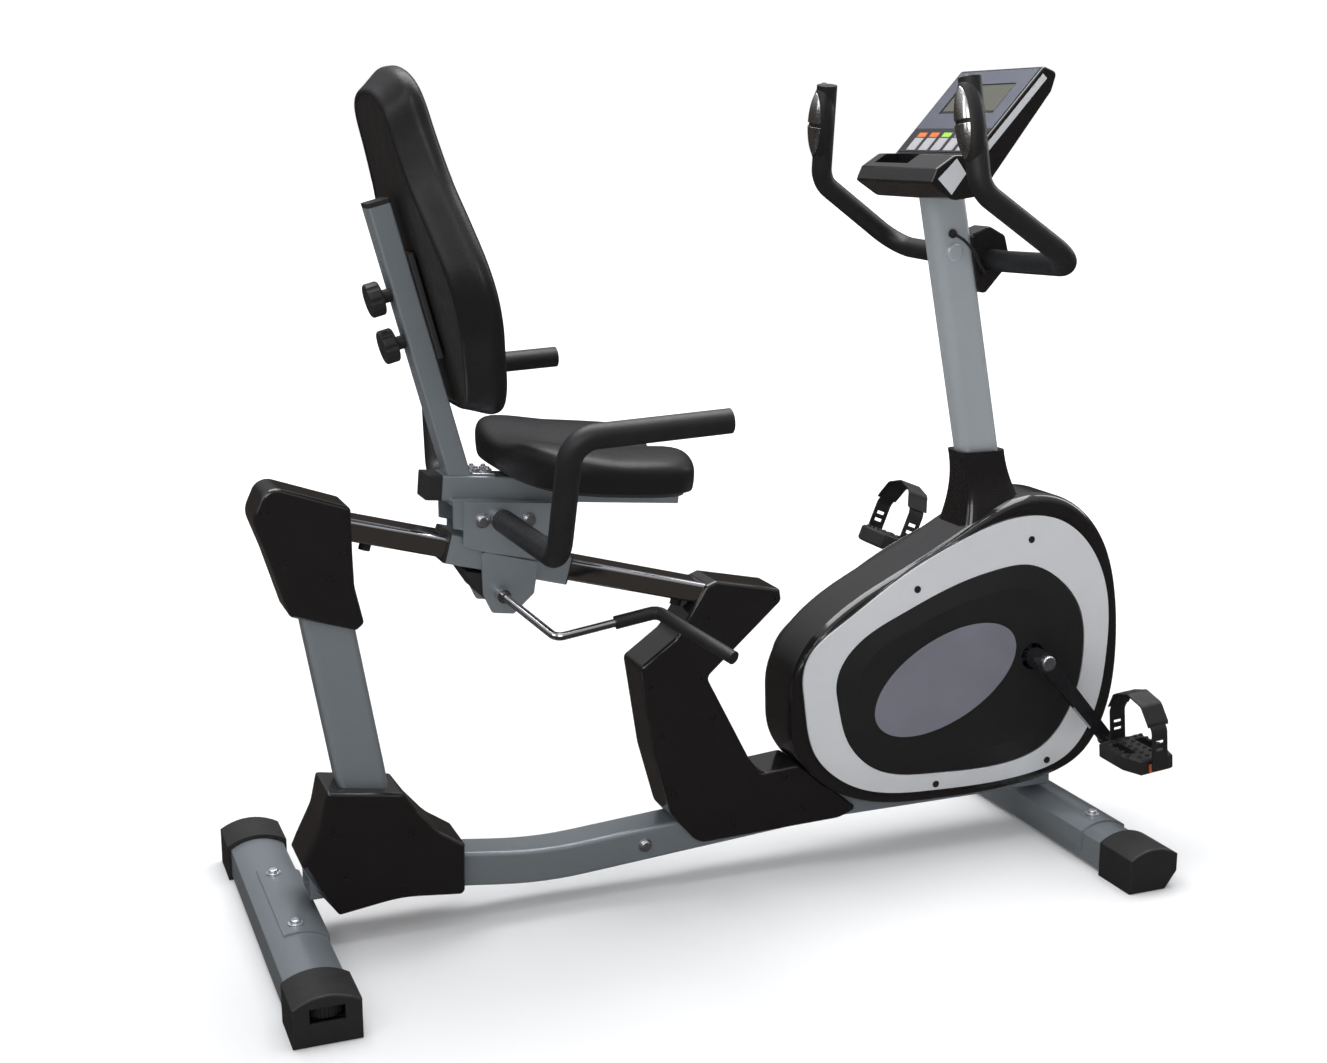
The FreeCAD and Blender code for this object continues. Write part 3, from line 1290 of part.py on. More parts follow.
def strap(side):
    """The slotted strap that arches over the foot, pegged to the platform's sides."""
    y0, y1 = PEDAL_Y
    arch = [(0, y0 - 4.5, 7.5), (0, y0 - 4.5, 58), (0, y0 + 14, 88), (0, y0 + 46, 97), (0, y1 - 14, 88),
            (0, y1 + 7.0, 56), (0, y1 + 7.0, -6)]
    wire = rounded_path(arch, 16.0)
    band = 26.0
    section = Part.makePolygon([V(-band / 2, y0 - 6.0, 7.5), V(band / 2, y0 - 6.0, 7.5),
                                V(band / 2, y0 - 3.0, 7.5), V(-band / 2, y0 - 3.0, 7.5),
                                V(-band / 2, y0 - 6.0, 7.5)])
    loop = wire.makePipeShell([section], True, False)
    for z in (24.0, 36.0):
        loop = loop.cut(box((-7, 7), (y0 - 10, y0), (z, z + 5)))
        loop = loop.cut(box((-7, 7), (y1, y1 + 12), (z, z + 5)))
    pegs = [box((-12, 12), (y0 - 3.2, y0), (7.5, 11)), box((-6, 6), (y1 + 2.5, y1 + 5.6), (-7, 2))]
    pad_path = [(0, y0 - 1.0, 66), (0, y0 + 13, 89.5), (0, y0 + 46, 99), (0, y1 - 13, 90), (0, y1 + 4.0, 64)]
    flat = Part.makePolygon([V(-18, y0 - 4, 64), V(18, y0 - 4, 64), V(18, y0 + 0.5, 67), V(-18, y0 + 0.5, 67),
                             V(-18, y0 - 4, 64)])
    pad = rounded_path(pad_path, 14.0).makePipeShell([flat], True, False)
    loop = loop.fuse(pegs + [pad])
    return finish_pedal(loop, side)


def finish_pedal(piece, side):
    """Pitch a pedal piece and move it onto its spindle."""
    if side < 0:
        piece = mirrored(piece)
    piece.rotate(V(0, 0, 0), Y_AXIS, PEDAL_PITCH[side])
    x, z = crank_point(side)
    piece.translate(V(x, 0, z))
    return piece


def washered_bolt(head, direction, length):
    """A hex-free round-head bolt with a washer under it; head is on the outer face."""
    head = V(*head)
    direction = V(*direction)
    washer = Part.makeCylinder(WASHER_R, 1.6, head, direction)
    dome = Part.makeCylinder(HEAD_R, 5.0, head + direction * 1.6, direction)
    dome = dome.makeFillet(2.2, [edge for edge in dome.Edges if abs(
        (edge.BoundBox.Center - head).dot(direction) - 6.6) < 0.1])
    shank = Part.makeCylinder(BOLT_R, length, head, direction * -1)
    return washer.fuse(dome).fuse(shank)


def frame_bolts():
    """Bolts of the saddle plates and the floor tube joint, and the rollers' pins."""
    pieces = []
    for x, y in foot_bolts():
        pieces.append(washered_bolt((x, y, FOOT_TOP_Z + SADDLE_T), (0, 0, 1), 11.0))
    for side in (-1, 1):
        pieces.append(washered_bolt((JOINT_BOLT[0], side * BASE_W / 2, JOINT_BOLT[1]), (0, side, 0), 7.0))
        low = ROLLER_Y[0] - 7
        high = ROLLER_Y[1] + 7
        span = (low, high) if side > 0 else (-high, -low)
        pieces.append(rod_y(ROLLER_AT, ROLLER_PIN_R, *span))
    return pieces


def seat_bolts():
    """Washered bolts that hold the seat frame between the carriage's plates."""
    pieces = []
    for at in SUPPORT_BOLTS:
        for side in (-1, 1):
            pieces.append(washered_bolt((at[0], side * UPRIGHT_Y[1], at[1]), (0, side, 0), 12.0))
    slope = (SEAT_TUBE[1][1] - SEAT_TUBE[0][1]) / (SEAT_TUBE[1][0] - SEAT_TUBE[0][0])
    top = [(x, SEAT_TUBE[0][1] + slope * (x - SEAT_TUBE[0][0]) + SEAT_TUBE_H / 2) for x in (317, 348)]
    lift = 1.6
    plate = bar_along([(x, z + lift) for x, z in top], 40.0, 3.0, 1.0)
    for x, y in ((324.0, -11.0), (340.0, -11.0), (324.0, 11.0), (340.0, 11.0)):
        z = top[0][1] + slope * (x - top[0][0]) + lift + 1.6
        nut = Part.Face(Part.makePolygon([V(x + 6 * math.cos(math.radians(60 * k)),
                                            y + 6 * math.sin(math.radians(60 * k)), z) for k in range(7)]))
        stud = Part.makeCylinder(3.0, 8.0, V(x, y, z))
        plate = plate.fuse([nut.extrude(V(0, 0, 5)), stud])
    pieces.append(plate)
    return pieces


def rail_bumpers():
    """Rubber stops under the rail at both ends of the seat's travel."""
    pieces = []
    for along in (-188.0, 272.0):
        x, z = rail_at(along, -RAIL_H / 2)
        pieces.append(Part.makeCylinder(8.0, 12.0, V(x, 0, z), V(math.sin(RAIL_ANGLE), 0,
                                                                  -math.cos(RAIL_ANGLE))))
    return pieces


def main():
    nodes = {
        "stabilisers": stabilisers(),
        "end_caps": end_caps(),
        "rear_post": [rear_post()],
        "base_tubes": base_tubes(),
        "rail_tube": [rail_tube()],
        "inner_frame": inner_frame(),
        "rear_top_cover": rear_top_cover(),
        "rear_foot_cover": rear_foot_cover(),
        "rail_cover": rail_cover(),
        "housing_shells": housing_shells(),
        "trim_rings": trim_rings(),
        "side_discs": side_discs(),
        "badges": badges(),
        "mast_boot": [mast_boot()],
        "mast": [mast()],
        "console_case": [console_case()],
        "console_face": [console_face()],
        "console_screen": [console_screen()],
        "clamp_cover": [clamp_cover()],
        "cover_screws": cover_screws(),
        "frame_bolts": frame_bolts(),
        "rail_bumpers": rail_bumpers(),
        "drive_belt": [drive_belt()],
        "brake_motor": brake_motor(),
        "pulse_cable": pulse_cable(),
        "crank_axle": crank_axle(),
        "crank_arms": crank_arms(),
        "pedal_right": pedal(-1),
        "pedal_left": pedal(1),
        "strap_right": [strap(-1)],
        "strap_left": [strap(1)],
        "flywheel": [flywheel()],
        "magnet_bracket": [magnet_bracket()],
        "carriage_sleeve": [carriage_sleeve()],
        "carriage_glides": carriage_glides(),
        "seat_frame": seat_frame(),
        "back_post": [back_post()],
        "tube_caps": tube_caps(),
        "side_handles": [side_handles()],
        "side_grips": side_grips(),
        "seat_pan": [seat_pan()],
        "seat_cushion": [seat_cushion()],
        "seat_bolts": seat_bolts(),
        "lock_lever": [lock_lever()],
        "lever_grip": [lever_grip()],
        "back_board": [back_board()],
        "back_cushion": [back_cushion()],
        "knob_upper": [knob(KNOBS[1])],
        "knob_lower": [knob(KNOBS[0])],
        "handlebar": [handlebar()],
        "hand_sensors": hand_sensors(),
        "dial_left": [levelling_dial()],
        "dial_right": [mirrored(levelling_dial())],
        "roller_left": [transport_roller()],
        "roller_right": [mirrored(transport_roller())],
    }
    for i in range(5):
        nodes["key_" + str(i + 1)] = [key(i)]
    for name, solids in nodes.items():
        save(name, solids)


main()
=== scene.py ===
import json
import math

import bmesh
import bpy
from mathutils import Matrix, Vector


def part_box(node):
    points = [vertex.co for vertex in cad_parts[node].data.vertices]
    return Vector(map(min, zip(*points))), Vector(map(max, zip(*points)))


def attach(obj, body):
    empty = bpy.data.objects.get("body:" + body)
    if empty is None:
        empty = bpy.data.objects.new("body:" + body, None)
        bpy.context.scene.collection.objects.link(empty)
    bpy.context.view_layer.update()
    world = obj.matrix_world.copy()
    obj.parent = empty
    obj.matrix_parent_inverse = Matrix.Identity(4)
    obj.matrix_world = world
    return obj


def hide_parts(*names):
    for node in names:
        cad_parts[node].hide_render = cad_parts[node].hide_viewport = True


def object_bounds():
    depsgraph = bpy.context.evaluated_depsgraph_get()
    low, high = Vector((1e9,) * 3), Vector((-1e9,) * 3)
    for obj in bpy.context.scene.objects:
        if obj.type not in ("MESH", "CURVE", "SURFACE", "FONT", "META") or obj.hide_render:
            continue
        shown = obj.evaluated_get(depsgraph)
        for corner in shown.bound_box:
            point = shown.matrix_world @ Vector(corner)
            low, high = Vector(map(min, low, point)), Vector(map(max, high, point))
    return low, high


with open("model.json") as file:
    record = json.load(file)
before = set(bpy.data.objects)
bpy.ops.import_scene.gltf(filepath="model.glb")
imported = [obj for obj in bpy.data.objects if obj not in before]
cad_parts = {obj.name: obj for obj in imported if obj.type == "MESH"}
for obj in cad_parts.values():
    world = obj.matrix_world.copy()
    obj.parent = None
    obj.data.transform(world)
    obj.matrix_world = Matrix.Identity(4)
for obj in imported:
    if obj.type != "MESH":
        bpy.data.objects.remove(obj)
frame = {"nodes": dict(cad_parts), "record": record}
cad_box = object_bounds()
record = frame["record"]
nodes = frame["nodes"]


# ---------------------------------------------------------------- materials

class Graph:
    """One material's node tree, with short calls for the nodes used here."""

    def __init__(self, name):
        self.material = bpy.data.materials.new(name)
        self.material.use_nodes = True
        self.tree = self.material.node_tree
        self.shader = self.tree.nodes["Principled BSDF"]
        self.place = self.tree.nodes.new("ShaderNodeTexCoord").outputs["Object"]

    def link(self, out, into):
        self.tree.links.new(out, into)

    def noise(self, scale, detail=3.0, roughness=0.55, stretch=None):
        node = self.tree.nodes.new("ShaderNodeTexNoise")
        node.inputs["Scale"].default_value = scale
        node.inputs["Detail"].default_value = detail
        node.inputs["Roughness"].default_value = roughness
        self.link(self.stretched(stretch), node.inputs["Vector"])
        return node.outputs["Fac"]

    def stretched(self, stretch):
        if stretch is None:
            return self.place
        node = self.tree.nodes.new("ShaderNodeMapping")
        node.inputs["Scale"].default_value = stretch
        self.link(self.place, node.inputs["Vector"])
        return node.outputs["Vector"]

    def cells(self, scale, feature="F1", output="Distance"):
        node = self.tree.nodes.new("ShaderNodeTexVoronoi")
        node.feature = feature
        node.inputs["Scale"].default_value = scale
        self.link(self.place, node.inputs["Vector"])
        return node.outputs[output]

    def spread(self, value, low, high, to_low, to_high):
        node = self.tree.nodes.new("ShaderNodeMapRange")
        ends = {"From Min": low, "From Max": high, "To Min": to_low, "To Max": to_high}
        for key, number in ends.items():
            node.inputs[key].default_value = number
        self.link(value, node.inputs["Value"])
        return node.outputs["Result"]

    def mix_colour(self, factor, first, second):
        node = self.tree.nodes.new("ShaderNodeMix")
        node.data_type = "RGBA"
        self.link(factor, node.inputs["Factor"])
        for key, colour in (("A", first), ("B", second)):
            socket = [s for s in node.inputs if s.name == key and s.type == "RGBA"][0]
            if isinstance(colour, bpy.types.NodeSocket):
                self.link(colour, socket)
            else:
                socket.default_value = (*colour, 1.0)
        return [s for s in node.outputs if s.type == "RGBA"][0]

    def bump(self, height, strength, distance, below=None):
        node = self.tree.nodes.new("ShaderNodeBump")
        node.inputs["Strength"].default_value = strength
        node.inputs["Distance"].default_value = distance
        self.link(height, node.inputs["Height"])
        if below is not None:
            self.link(below, node.inputs["Normal"])
        return node.outputs["Normal"]

    def soft_edge(self, radius):
        node = self.tree.nodes.new("ShaderNodeBevel")
        node.samples = 4
        node.inputs["Radius"].default_value = radius
        return node.outputs["Normal"]

    def set(self, **values):
        for key, value in values.items():
            self.shader.inputs[key.replace("_", " ").title().replace("Ior", "IOR")].default_value = value


def scaled(colour, factor):
    return tuple(min(1.0, c * factor) for c in colour)


def powder_coat(name, colour, flake=0.35, metal=0.5):
    """Silver powder coat with fine metal flake and slight orange peel."""
    g = Graph(name)
    flakes = g.spread(g.cells(2600.0, output="Color"), 0.0, 1.0, 0.0, flake)
    clouds = g.noise(9.0)
    base = g.mix_colour(clouds, scaled(colour, 0.94), scaled(colour, 1.05))
    g.link(g.mix_colour(flakes, base, scaled(colour, 1.6)), g.shader.inputs["Base Color"])
    g.link(g.spread(g.noise(60.0), 0.3, 0.7, 0.30, 0.38), g.shader.inputs["Roughness"])
    g.set(metallic=metal, coat_weight=0.4, coat_roughness=0.12)
    g.link(g.bump(g.noise(420.0, 2.0), 0.10, 0.0006, g.soft_edge(0.0008)), g.shader.inputs["Normal"])
    return g.material


def moulded(name, colour, rough, grain, depth, coat=0.0, edge=0.0006):
    """Moulded plastic: fine grain, faint clouding and light rubbing."""
    g = Graph(name)
    clouds = g.noise(14.0, 5.0)
    g.link(g.mix_colour(clouds, scaled(colour, 0.85), scaled(colour, 1.2)), g.shader.inputs["Base Color"])
    rubbed = g.noise(55.0, 6.0, 0.7)
    g.link(g.spread(rubbed, 0.3, 0.7, rough * 0.85, rough * 1.15), g.shader.inputs["Roughness"])
    g.set(coat_weight=coat, coat_roughness=0.06)
    below = g.soft_edge(edge) if edge else None
    g.link(g.bump(g.noise(grain, 2.0), 0.35, depth, below), g.shader.inputs["Normal"])
    return g.material


def polished(name, colour, rough, streak, relief=0.06):
    """Plated or turned metal with very fine polishing lines."""
    g = Graph(name)
    lines = g.noise(700.0, 2.0, 0.5, streak)
    shade = g.mix_colour(g.noise(20.0), scaled(colour, 0.95), scaled(colour, 1.04))
    g.link(shade, g.shader.inputs["Base Color"])
    g.link(g.spread(lines, 0.3, 0.7, rough * 0.7, rough * 1.4), g.shader.inputs["Roughness"])
    g.set(metallic=1.0)
    g.link(g.bump(lines, relief, 0.0003, g.soft_edge(0.0005)), g.shader.inputs["Normal"])
    return g.material


def vinyl(name, colour):
    """Upholstery vinyl: pebbled grain of about a millimetre over soft unevenness."""
    g = Graph(name)
    pebbles = g.cells(950.0, "SMOOTH_F1")
    uneven = g.noise(26.0, 3.0)
    shade = g.mix_colour(g.noise(11.0), scaled(colour, 0.85), scaled(colour, 1.25))
    g.link(shade, g.shader.inputs["Base Color"])
    g.link(g.spread(g.noise(90.0, 4.0), 0.3, 0.7, 0.36, 0.46), g.shader.inputs["Roughness"])
    g.set(specular_ior_level=0.28, coat_weight=0.12, coat_roughness=0.22)
    waves = g.bump(uneven, 0.16, 0.004)
    g.link(g.bump(pebbles, 0.30, 0.0005, waves), g.shader.inputs["Normal"])
    return g.material


def foam(name, colour):
    """Closed-cell foam sleeve: tiny pores and a soft satin skin."""
    g = Graph(name)
    shade = g.mix_colour(g.noise(40.0), scaled(colour, 0.8), scaled(colour, 1.3))
    g.link(shade, g.shader.inputs["Base Color"])
    g.link(g.spread(g.noise(120.0), 0.3, 0.7, 0.40, 0.50), g.shader.inputs["Roughness"])
    g.set(specular_ior_level=0.5)
    pores = g.spread(g.cells(1400.0), 0.0, 0.5, 0.0, 1.0)
    g.link(g.bump(pores, 0.22, 0.0004, g.bump(g.noise(70.0), 0.12, 0.002)), g.shader.inputs["Normal"])
    return g.material


def display(name, colour):
    """Satin display window, very slightly uneven."""
    g = Graph(name)
    shade = g.mix_colour(g.noise(30.0), scaled(colour, 0.96), scaled(colour, 1.05))
    g.link(shade, g.shader.inputs["Base Color"])
    g.set(roughness=0.25, specular_ior_level=0.3, coat_weight=0.1, coat_roughness=0.05)
    g.link(g.bump(g.noise(300.0), 0.02, 0.0002), g.shader.inputs["Normal"])
    return g.material


colours = {m["slot"]: tuple(m["base_color"]) for m in record["materials"]}
ALONG_Y = (1.0, 0.02, 1.0)
ALONG_X = (0.02, 1.0, 1.0)
materials = {
    "silver_paint": powder_coat("silver_paint", scaled(colours["silver_paint"], 0.78)),
    "mast_paint": powder_coat("mast_paint", scaled(colours["mast_paint"], 0.95), 0.25),
    "ring_silver": powder_coat("ring_silver", scaled(colours["ring_silver"], 1.12), 0.30, 0.30),
    "console_grey": powder_coat("console_grey", colours["console_grey"], 0.20),
    "black_gloss": moulded("black_gloss", colours["black_gloss"], 0.14, 260.0, 0.0001, 0.8, 0.0012),
    "black_satin": moulded("black_satin", colours["black_satin"], 0.42, 1500.0, 0.0003),
    "black_matte": moulded("black_matte", colours["black_matte"], 0.50, 1300.0, 0.0004),
    "board": moulded("board", colours["board"], 0.45, 900.0, 0.0003),
    "black_rubber": moulded("black_rubber", colours["black_rubber"], 0.58, 1100.0, 0.0003),
    "key_grey": moulded("key_grey", colours["key_grey"], 0.40, 1500.0, 0.0002),
    "badge_grey": moulded("badge_grey", colours["badge_grey"], 0.34, 900.0, 0.0001, 0.3, 0.0),
    "crank_black": moulded("crank_black", colours["crank_black"], 0.12, 300.0, 0.0002, 0.6, 0.0012),
    "rail_chrome": polished("rail_chrome", colours["rail_chrome"], 0.09, ALONG_X),
    "sensor_chrome": polished("sensor_chrome", scaled(colours["sensor_chrome"], 1.2), 0.20, ALONG_X, 0.01),
    "zinc": polished("zinc", scaled(colours["zinc"], 1.4), 0.36, ALONG_Y),
    "cast_grey": polished("cast_grey", colours["cast_grey"], 0.45, ALONG_Y),
    "vinyl": vinyl("vinyl", colours["vinyl"]),
    "foam": foam("foam", colours["foam"]),
    "screen": display("screen", scaled(colours["screen"], 0.42)),
}


def dress(piece, slot):
    """Gives a new piece its record slot and that slot's material."""
    piece.data.materials.clear()
    piece.data.materials.append(materials[slot])
    return piece


for entry in record["subparts"]:
    node = nodes[entry["node"]]
    node.data.materials.clear()
    node.data.materials.append(materials[entry["material_slot"]])


# ---------------------------------------------------------------- helpers

WELD_DISTANCE = 1e-6
SPLINE_STEPS = 24


def mesh_object(name, points, faces):
    mesh = bpy.data.meshes.new(name)
    mesh.from_pydata([tuple(p) for p in points], [], faces)
    mesh.update()
    piece = bpy.data.objects.new(name, mesh)
    bpy.context.scene.collection.objects.link(piece)
    return piece


def face_outward(piece, weld=False):
    """Turns every face outward, after joining points that coincide if asked to."""
    work = bmesh.new()
    work.from_mesh(piece.data)
    if weld:
        bmesh.ops.remove_doubles(work, verts=work.verts, dist=WELD_DISTANCE)
    bmesh.ops.recalc_face_normals(work, faces=work.faces)
    work.to_mesh(piece.data)
    work.free()
    return piece


def finish_mesh(piece, subdivisions=0, weld=False):
    """Faces outward, smooth shading and optional subdivision, applied."""
    face_outward(piece, weld)
    piece.data.shade_smooth()
    if subdivisions:
        modifier = piece.modifiers.new("smooth", "SUBSURF")
        modifier.levels = subdivisions
        modifier.render_levels = subdivisions
        graph = bpy.context.evaluated_depsgraph_get()
        mesh = bpy.data.meshes.new_from_object(piece.evaluated_get(graph))
        piece.modifiers.clear()
        piece.data = mesh
    return piece


def ring_surface(rings, close_first=True, close_last=True):
    """Points and faces of a skin through rings of equal count."""
    count = len(rings[0])
    points = [p for ring in rings for p in ring]
    faces = []
    for r in range(len(rings) - 1):
        for i in range(count):
            j = (i + 1) % count
            faces.append((r * count + i, r * count + j, (r + 1) * count + j, (r + 1) * count + i))
    for wanted, base in ((close_first, 0), (close_last, (len(rings) - 1) * count)):
        if wanted:
            middle = sum((Vector(points[base + i]) for i in range(count)), Vector()) / count
            points.append(middle)
            for i in range(count):
                faces.append((base + i, base + (i + 1) % count, len(points) - 1))
    return points, faces


def closed_spline(points, count):
    """Evenly spaced points on a smooth closed curve through the given points."""
    fine = []
    total = len(points)
    for i in range(total):
        a, b, c, d = (Vector(points[(i + k) % total]) for k in (-1, 0, 1, 2))
        for step in range(SPLINE_STEPS):
            t = step / SPLINE_STEPS
            fine.append(0.5 * ((2 * b) + (c - a) * t + (2 * a - 5 * b + 4 * c - d) * t * t
                               + (3 * b - a - 3 * c + d) * t ** 3))
    lengths = [0.0]
    for i in range(len(fine)):
        lengths.append(lengths[-1] + (fine[(i + 1) % len(fine)] - fine[i]).length)
    result = []
    k = 0
    for i in range(count):
        wanted = lengths[-1] * i / count
        while lengths[k + 1] < wanted:
            k += 1
        share = (wanted - lengths[k]) / (lengths[k + 1] - lengths[k])
        result.append(fine[k].lerp(fine[(k + 1) % len(fine)], share))
    return result


def both_sides(half):
    """A closed outline from its +Y half, given from end to end on the middle line."""
    return half + [(a, -b) for a, b in reversed(half[1:-1])]


# ---------------------------------------------------------------- cushions

PAD_POINTS = 128
LEAN = math.radians(15.0)
UP_BACK = Vector((-math.sin(LEAN), 0.0, math.cos(LEAN)))
OUT_BACK = Vector((math.cos(LEAN), 0.0, math.sin(LEAN)))
BACK_HALF = [(0.0, 0.0), (0.002, 0.046), (0.013, 0.079), (0.044, 0.116), (0.089, 0.151), (0.130, 0.182),
             (0.172, 0.1965), (0.215, 0.189), (0.263, 0.162), (0.320, 0.126), (0.380, 0.107), (0.425, 0.099),
             (0.447, 0.079), (0.459, 0.040), (0.461, 0.0)]
BACK_MIDDLE = 0.222
LENGTHWAYS_SHARE = 0.60
BEAD_RADIUS = 0.0011

# Rings of the backrest's skin: the outline's scale, and metres forward of the rear face.
PANEL_RINGS = [(0.40, 0.0030), (0.750, 0.0030), (0.785, 0.0028), (0.800, 0.0022), (0.802, 0.0060)]
EDGE_RINGS = [(0.795, 0.0062), (0.802, 0.0030), (0.812, 0.0010), (0.830, 0.0003), (0.850, 0.0012),
              (0.866, 0.0040), (0.880, 0.0085), (0.925, 0.0190), (0.970, 0.0290), (0.992, 0.0345)]
BEAD_RING = (0.8025, 0.0030)
# The same for the front, where the second number is a share of the cushion's depth.
CROWN_RINGS = [(0.998, 0.70), (0.990, 0.79), (0.965, 0.87), (0.92, 0.925), (0.85, 0.960), (0.70, 0.985),
               (0.45, 0.995), (0.2, 0.998)]


def back_foot_and_depth():
    """The cushion's corner at the bottom of its rear face, and its depth, both along the post's slope."""
    low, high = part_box("back_cushion")
    centre = Vector(((low.x + high.x) / 2, 0.0, (low.z + high.z) / 2))
    offsets = [Vector(v.co) - centre for v in nodes["back_cushion"].data.vertices]
    reach = [p.dot(OUT_BACK) for p in offsets]
    along = [p.dot(UP_BACK) for p in offsets]
    return centre + UP_BACK * min(along) + OUT_BACK * min(reach), max(reach) - min(reach)


def back_ring(outline, foot, scale, forward):
    """The backrest's outline, shrunk more sideways than lengthways and set forward."""
    lengthways = 1.0 - (1.0 - scale) * LENGTHWAYS_SHARE
    points = []
    for p in outline:
        up = BACK_MIDDLE + (p.x - BACK_MIDDLE) * lengthways
        points.append(foot + UP_BACK * up + OUT_BACK * forward + Vector((0, p.y * scale, 0)))
    return points


def build_backrest():
    """A flat rear panel framed by a shiny rolled edge, sloping sides and a crowned front."""
    foot, depth = back_foot_and_depth()
    outline = closed_spline([(a, w, 0.0) for a, w in both_sides(BACK_HALF)], PAD_POINTS)
    panel_rings = [back_ring(outline, foot, *ring) for ring in PANEL_RINGS]
    panel = mesh_object("back_panel", *ring_surface(panel_rings))
    finish_mesh(panel, 1)
    dress(panel, "black_satin")
    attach(panel, "backrest")
    pad_rings = [back_ring(outline, foot, *ring) for ring in EDGE_RINGS]
    pad_rings += [back_ring(outline, foot, scale, depth * share) for scale, share in CROWN_RINGS]
    pad = mesh_object("back_pad", *ring_surface(pad_rings))
    finish_mesh(pad, 1)
    dress(pad, "vinyl")
    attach(pad, "backrest")
    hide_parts("back_cushion")
    bead = tube_loop("back_bead", back_ring(outline, foot, *BEAD_RING), BEAD_RADIUS)
    dress(bead, "black_gloss")
    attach(bead, "backrest")


def tube_loop(name, path, radius, sides=8):
    """A thin closed bead along a loop of points."""
    rings = []
    count = len(path)
    centre = sum(path, Vector()) / count
    for i, point in enumerate(path):
        ahead = (path[(i + 1) % count] - path[i - 1]).normalized()
        out = point - centre
        out = (out - ahead * out.dot(ahead)).normalized()
        side = ahead.cross(out)
        rings.append([point + (out * math.cos(t) + side * math.sin(t)) * radius
                      for t in (2 * math.pi * k / sides for k in range(sides))])
    rings.append(rings[0])
    points, faces = ring_surface(rings, False, False)
    return finish_mesh(mesh_object(name, points, faces), weld=True)


SEAT_HALF = [(0.0, 0.0), (0.001, 0.060), (0.006, 0.105), (0.019, 0.147), (0.043, 0.180), (0.080, 0.195),
             (0.140, 0.195), (0.190, 0.186), (0.225, 0.164), (0.242, 0.125), (0.246, 0.085), (0.240, 0.035),
             (0.237, 0.0)]
SEAT_LONG = 0.246
SEAT_MIDDLE = 0.118
SEAT_DROP = 0.022
SEAT_INSIDE = 0.0005

# Rings of the seat's skin: the outline's scale, a share of its thickness, and a share of its top's shape.
SEAT_RINGS = [(0.50, 0.01, 0.0), (0.94, 0.01, 0.0), (0.968, 0.02, 0.0), (0.980, 0.05, 0.0),
              (0.988, 0.14, 0.0), (0.994, 0.30, 0.0), (0.998, 0.50, 0.3), (0.993, 0.66, 0.5),
              (0.972, 0.80, 0.7), (0.925, 0.92, 0.9), (0.84, 0.985, 1.0), (0.70, 1.0, 1.0),
              (0.50, 1.0, 1.0), (0.30, 1.0, 1.0), (0.12, 1.0, 1.0)]


def bell(distance, width):
    """One at no distance, falling smoothly to nothing beyond the width."""
    return math.exp(-(distance / width) ** 2)


def seat_shape(along, across):
    """The top's height above flat: raised rear corners and thighs, a dip and a front notch."""
    rear_flare = 0.014 * max(0.0, 1 - along / 0.12) * (abs(across) / 0.19) ** 2
    dip = -0.014 * bell(across, 0.060) * bell(along - 0.12, 0.10)
    notch = -0.012 * bell(across, 0.032) * max(0.0, (along - 0.14) / 0.10)
    thighs = 0.006 * bell(abs(across) - 0.110, 0.05)
    return rear_flare + dip + notch + thighs - 0.006


def build_seat():
    """A padded seat that slopes down to the front, with a shaped top."""
    low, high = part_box("seat_cushion")
    thick = (high.z - low.z) - SEAT_DROP
    outline = closed_spline([(a, w, 0.0) for a, w in both_sides(SEAT_HALF)], PAD_POINTS)
    size = (high.x - low.x) / (SEAT_LONG + 2 * SEAT_INSIDE)
    rings = []
    for scale, height, shaped in SEAT_RINGS:
        points = []
        for p in outline:
            along = SEAT_MIDDLE + (p.x - SEAT_MIDDLE) * scale
            across = p.y * scale
            base = low.z + SEAT_DROP * (1 - along / SEAT_LONG)
            z = base + height * thick + shaped * seat_shape(along, across)
            points.append((low.x + SEAT_INSIDE + along * size, across, min(z, high.z - SEAT_INSIDE)))
        rings.append(points)
    pad = mesh_object("seat_pad", *ring_surface(rings))
    finish_mesh(pad, 1)
    dress(pad, "vinyl")
    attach(pad, "seat")
    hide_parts("seat_cushion")


build_backrest()
build_seat()


# ---------------------------------------------------------------- console, reflectors and ring screws

FACE_RISE = math.atan2(120.0, 109.0)
UP_FACE = Vector((math.cos(FACE_RISE), 0.0, math.sin(FACE_RISE)))
OUT_FACE = Vector((-math.sin(FACE_RISE), 0.0, math.cos(FACE_RISE)))
PANEL_THICK = 0.0031
face_low, face_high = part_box("console_face")
FACE_ORIGIN = Vector((face_low.x, 0.0, face_low.z + PANEL_THICK * OUT_FACE.z))
CONSOLE_HALF = 0.110
FILM = 0.0003
KEY_COUNT = 5
KEY_THICK = 0.0056
KEY_GAP = 0.0007
FIELD_INSET = 0.0002
FIELD_TOP = 0.0445
BARS = [("orange", (0.72, 0.17, 0.03), (0, 1)), ("green", (0.33, 0.62, 0.07), (2,)),
        ("blue", (0.16, 0.17, 0.42), (3,)), ("amber", (0.60, 0.25, 0.05), (4,))]
BAR_BOTTOM = 0.0016
BAR_TOP = 0.0098
BAR_INSET = 0.0008
MASK_WIDE = 0.0035
MASK_SUNK = -0.00115
MASK_INSET = (0.0012, 0.0006)
SIDE_STRIP = ((0.010, -0.0155, -0.0002), (0.150, -0.0062, 0.0004))
SIDE_PATCH = [(0.0105, 0.029), (0.039, 0.0565), (0.0545, 0.036), (0.0325, 0.0075)]
PATCH_SUNK = 0.0002
PATCH_THICK = 0.0006
BLOCK_FACES = ((0, 1, 2, 3), (4, 5, 6, 7), (0, 1, 5, 4), (1, 2, 6, 5), (2, 3, 7, 6), (3, 0, 4, 7))


def tint(name, colour, rough=0.35, coat=0.2):
    """A fine-grained printed or moulded colour that isn't one of the record's slots."""
    return moulded(name, colour, rough, 1400.0, 0.0001, coat, 0.0002)


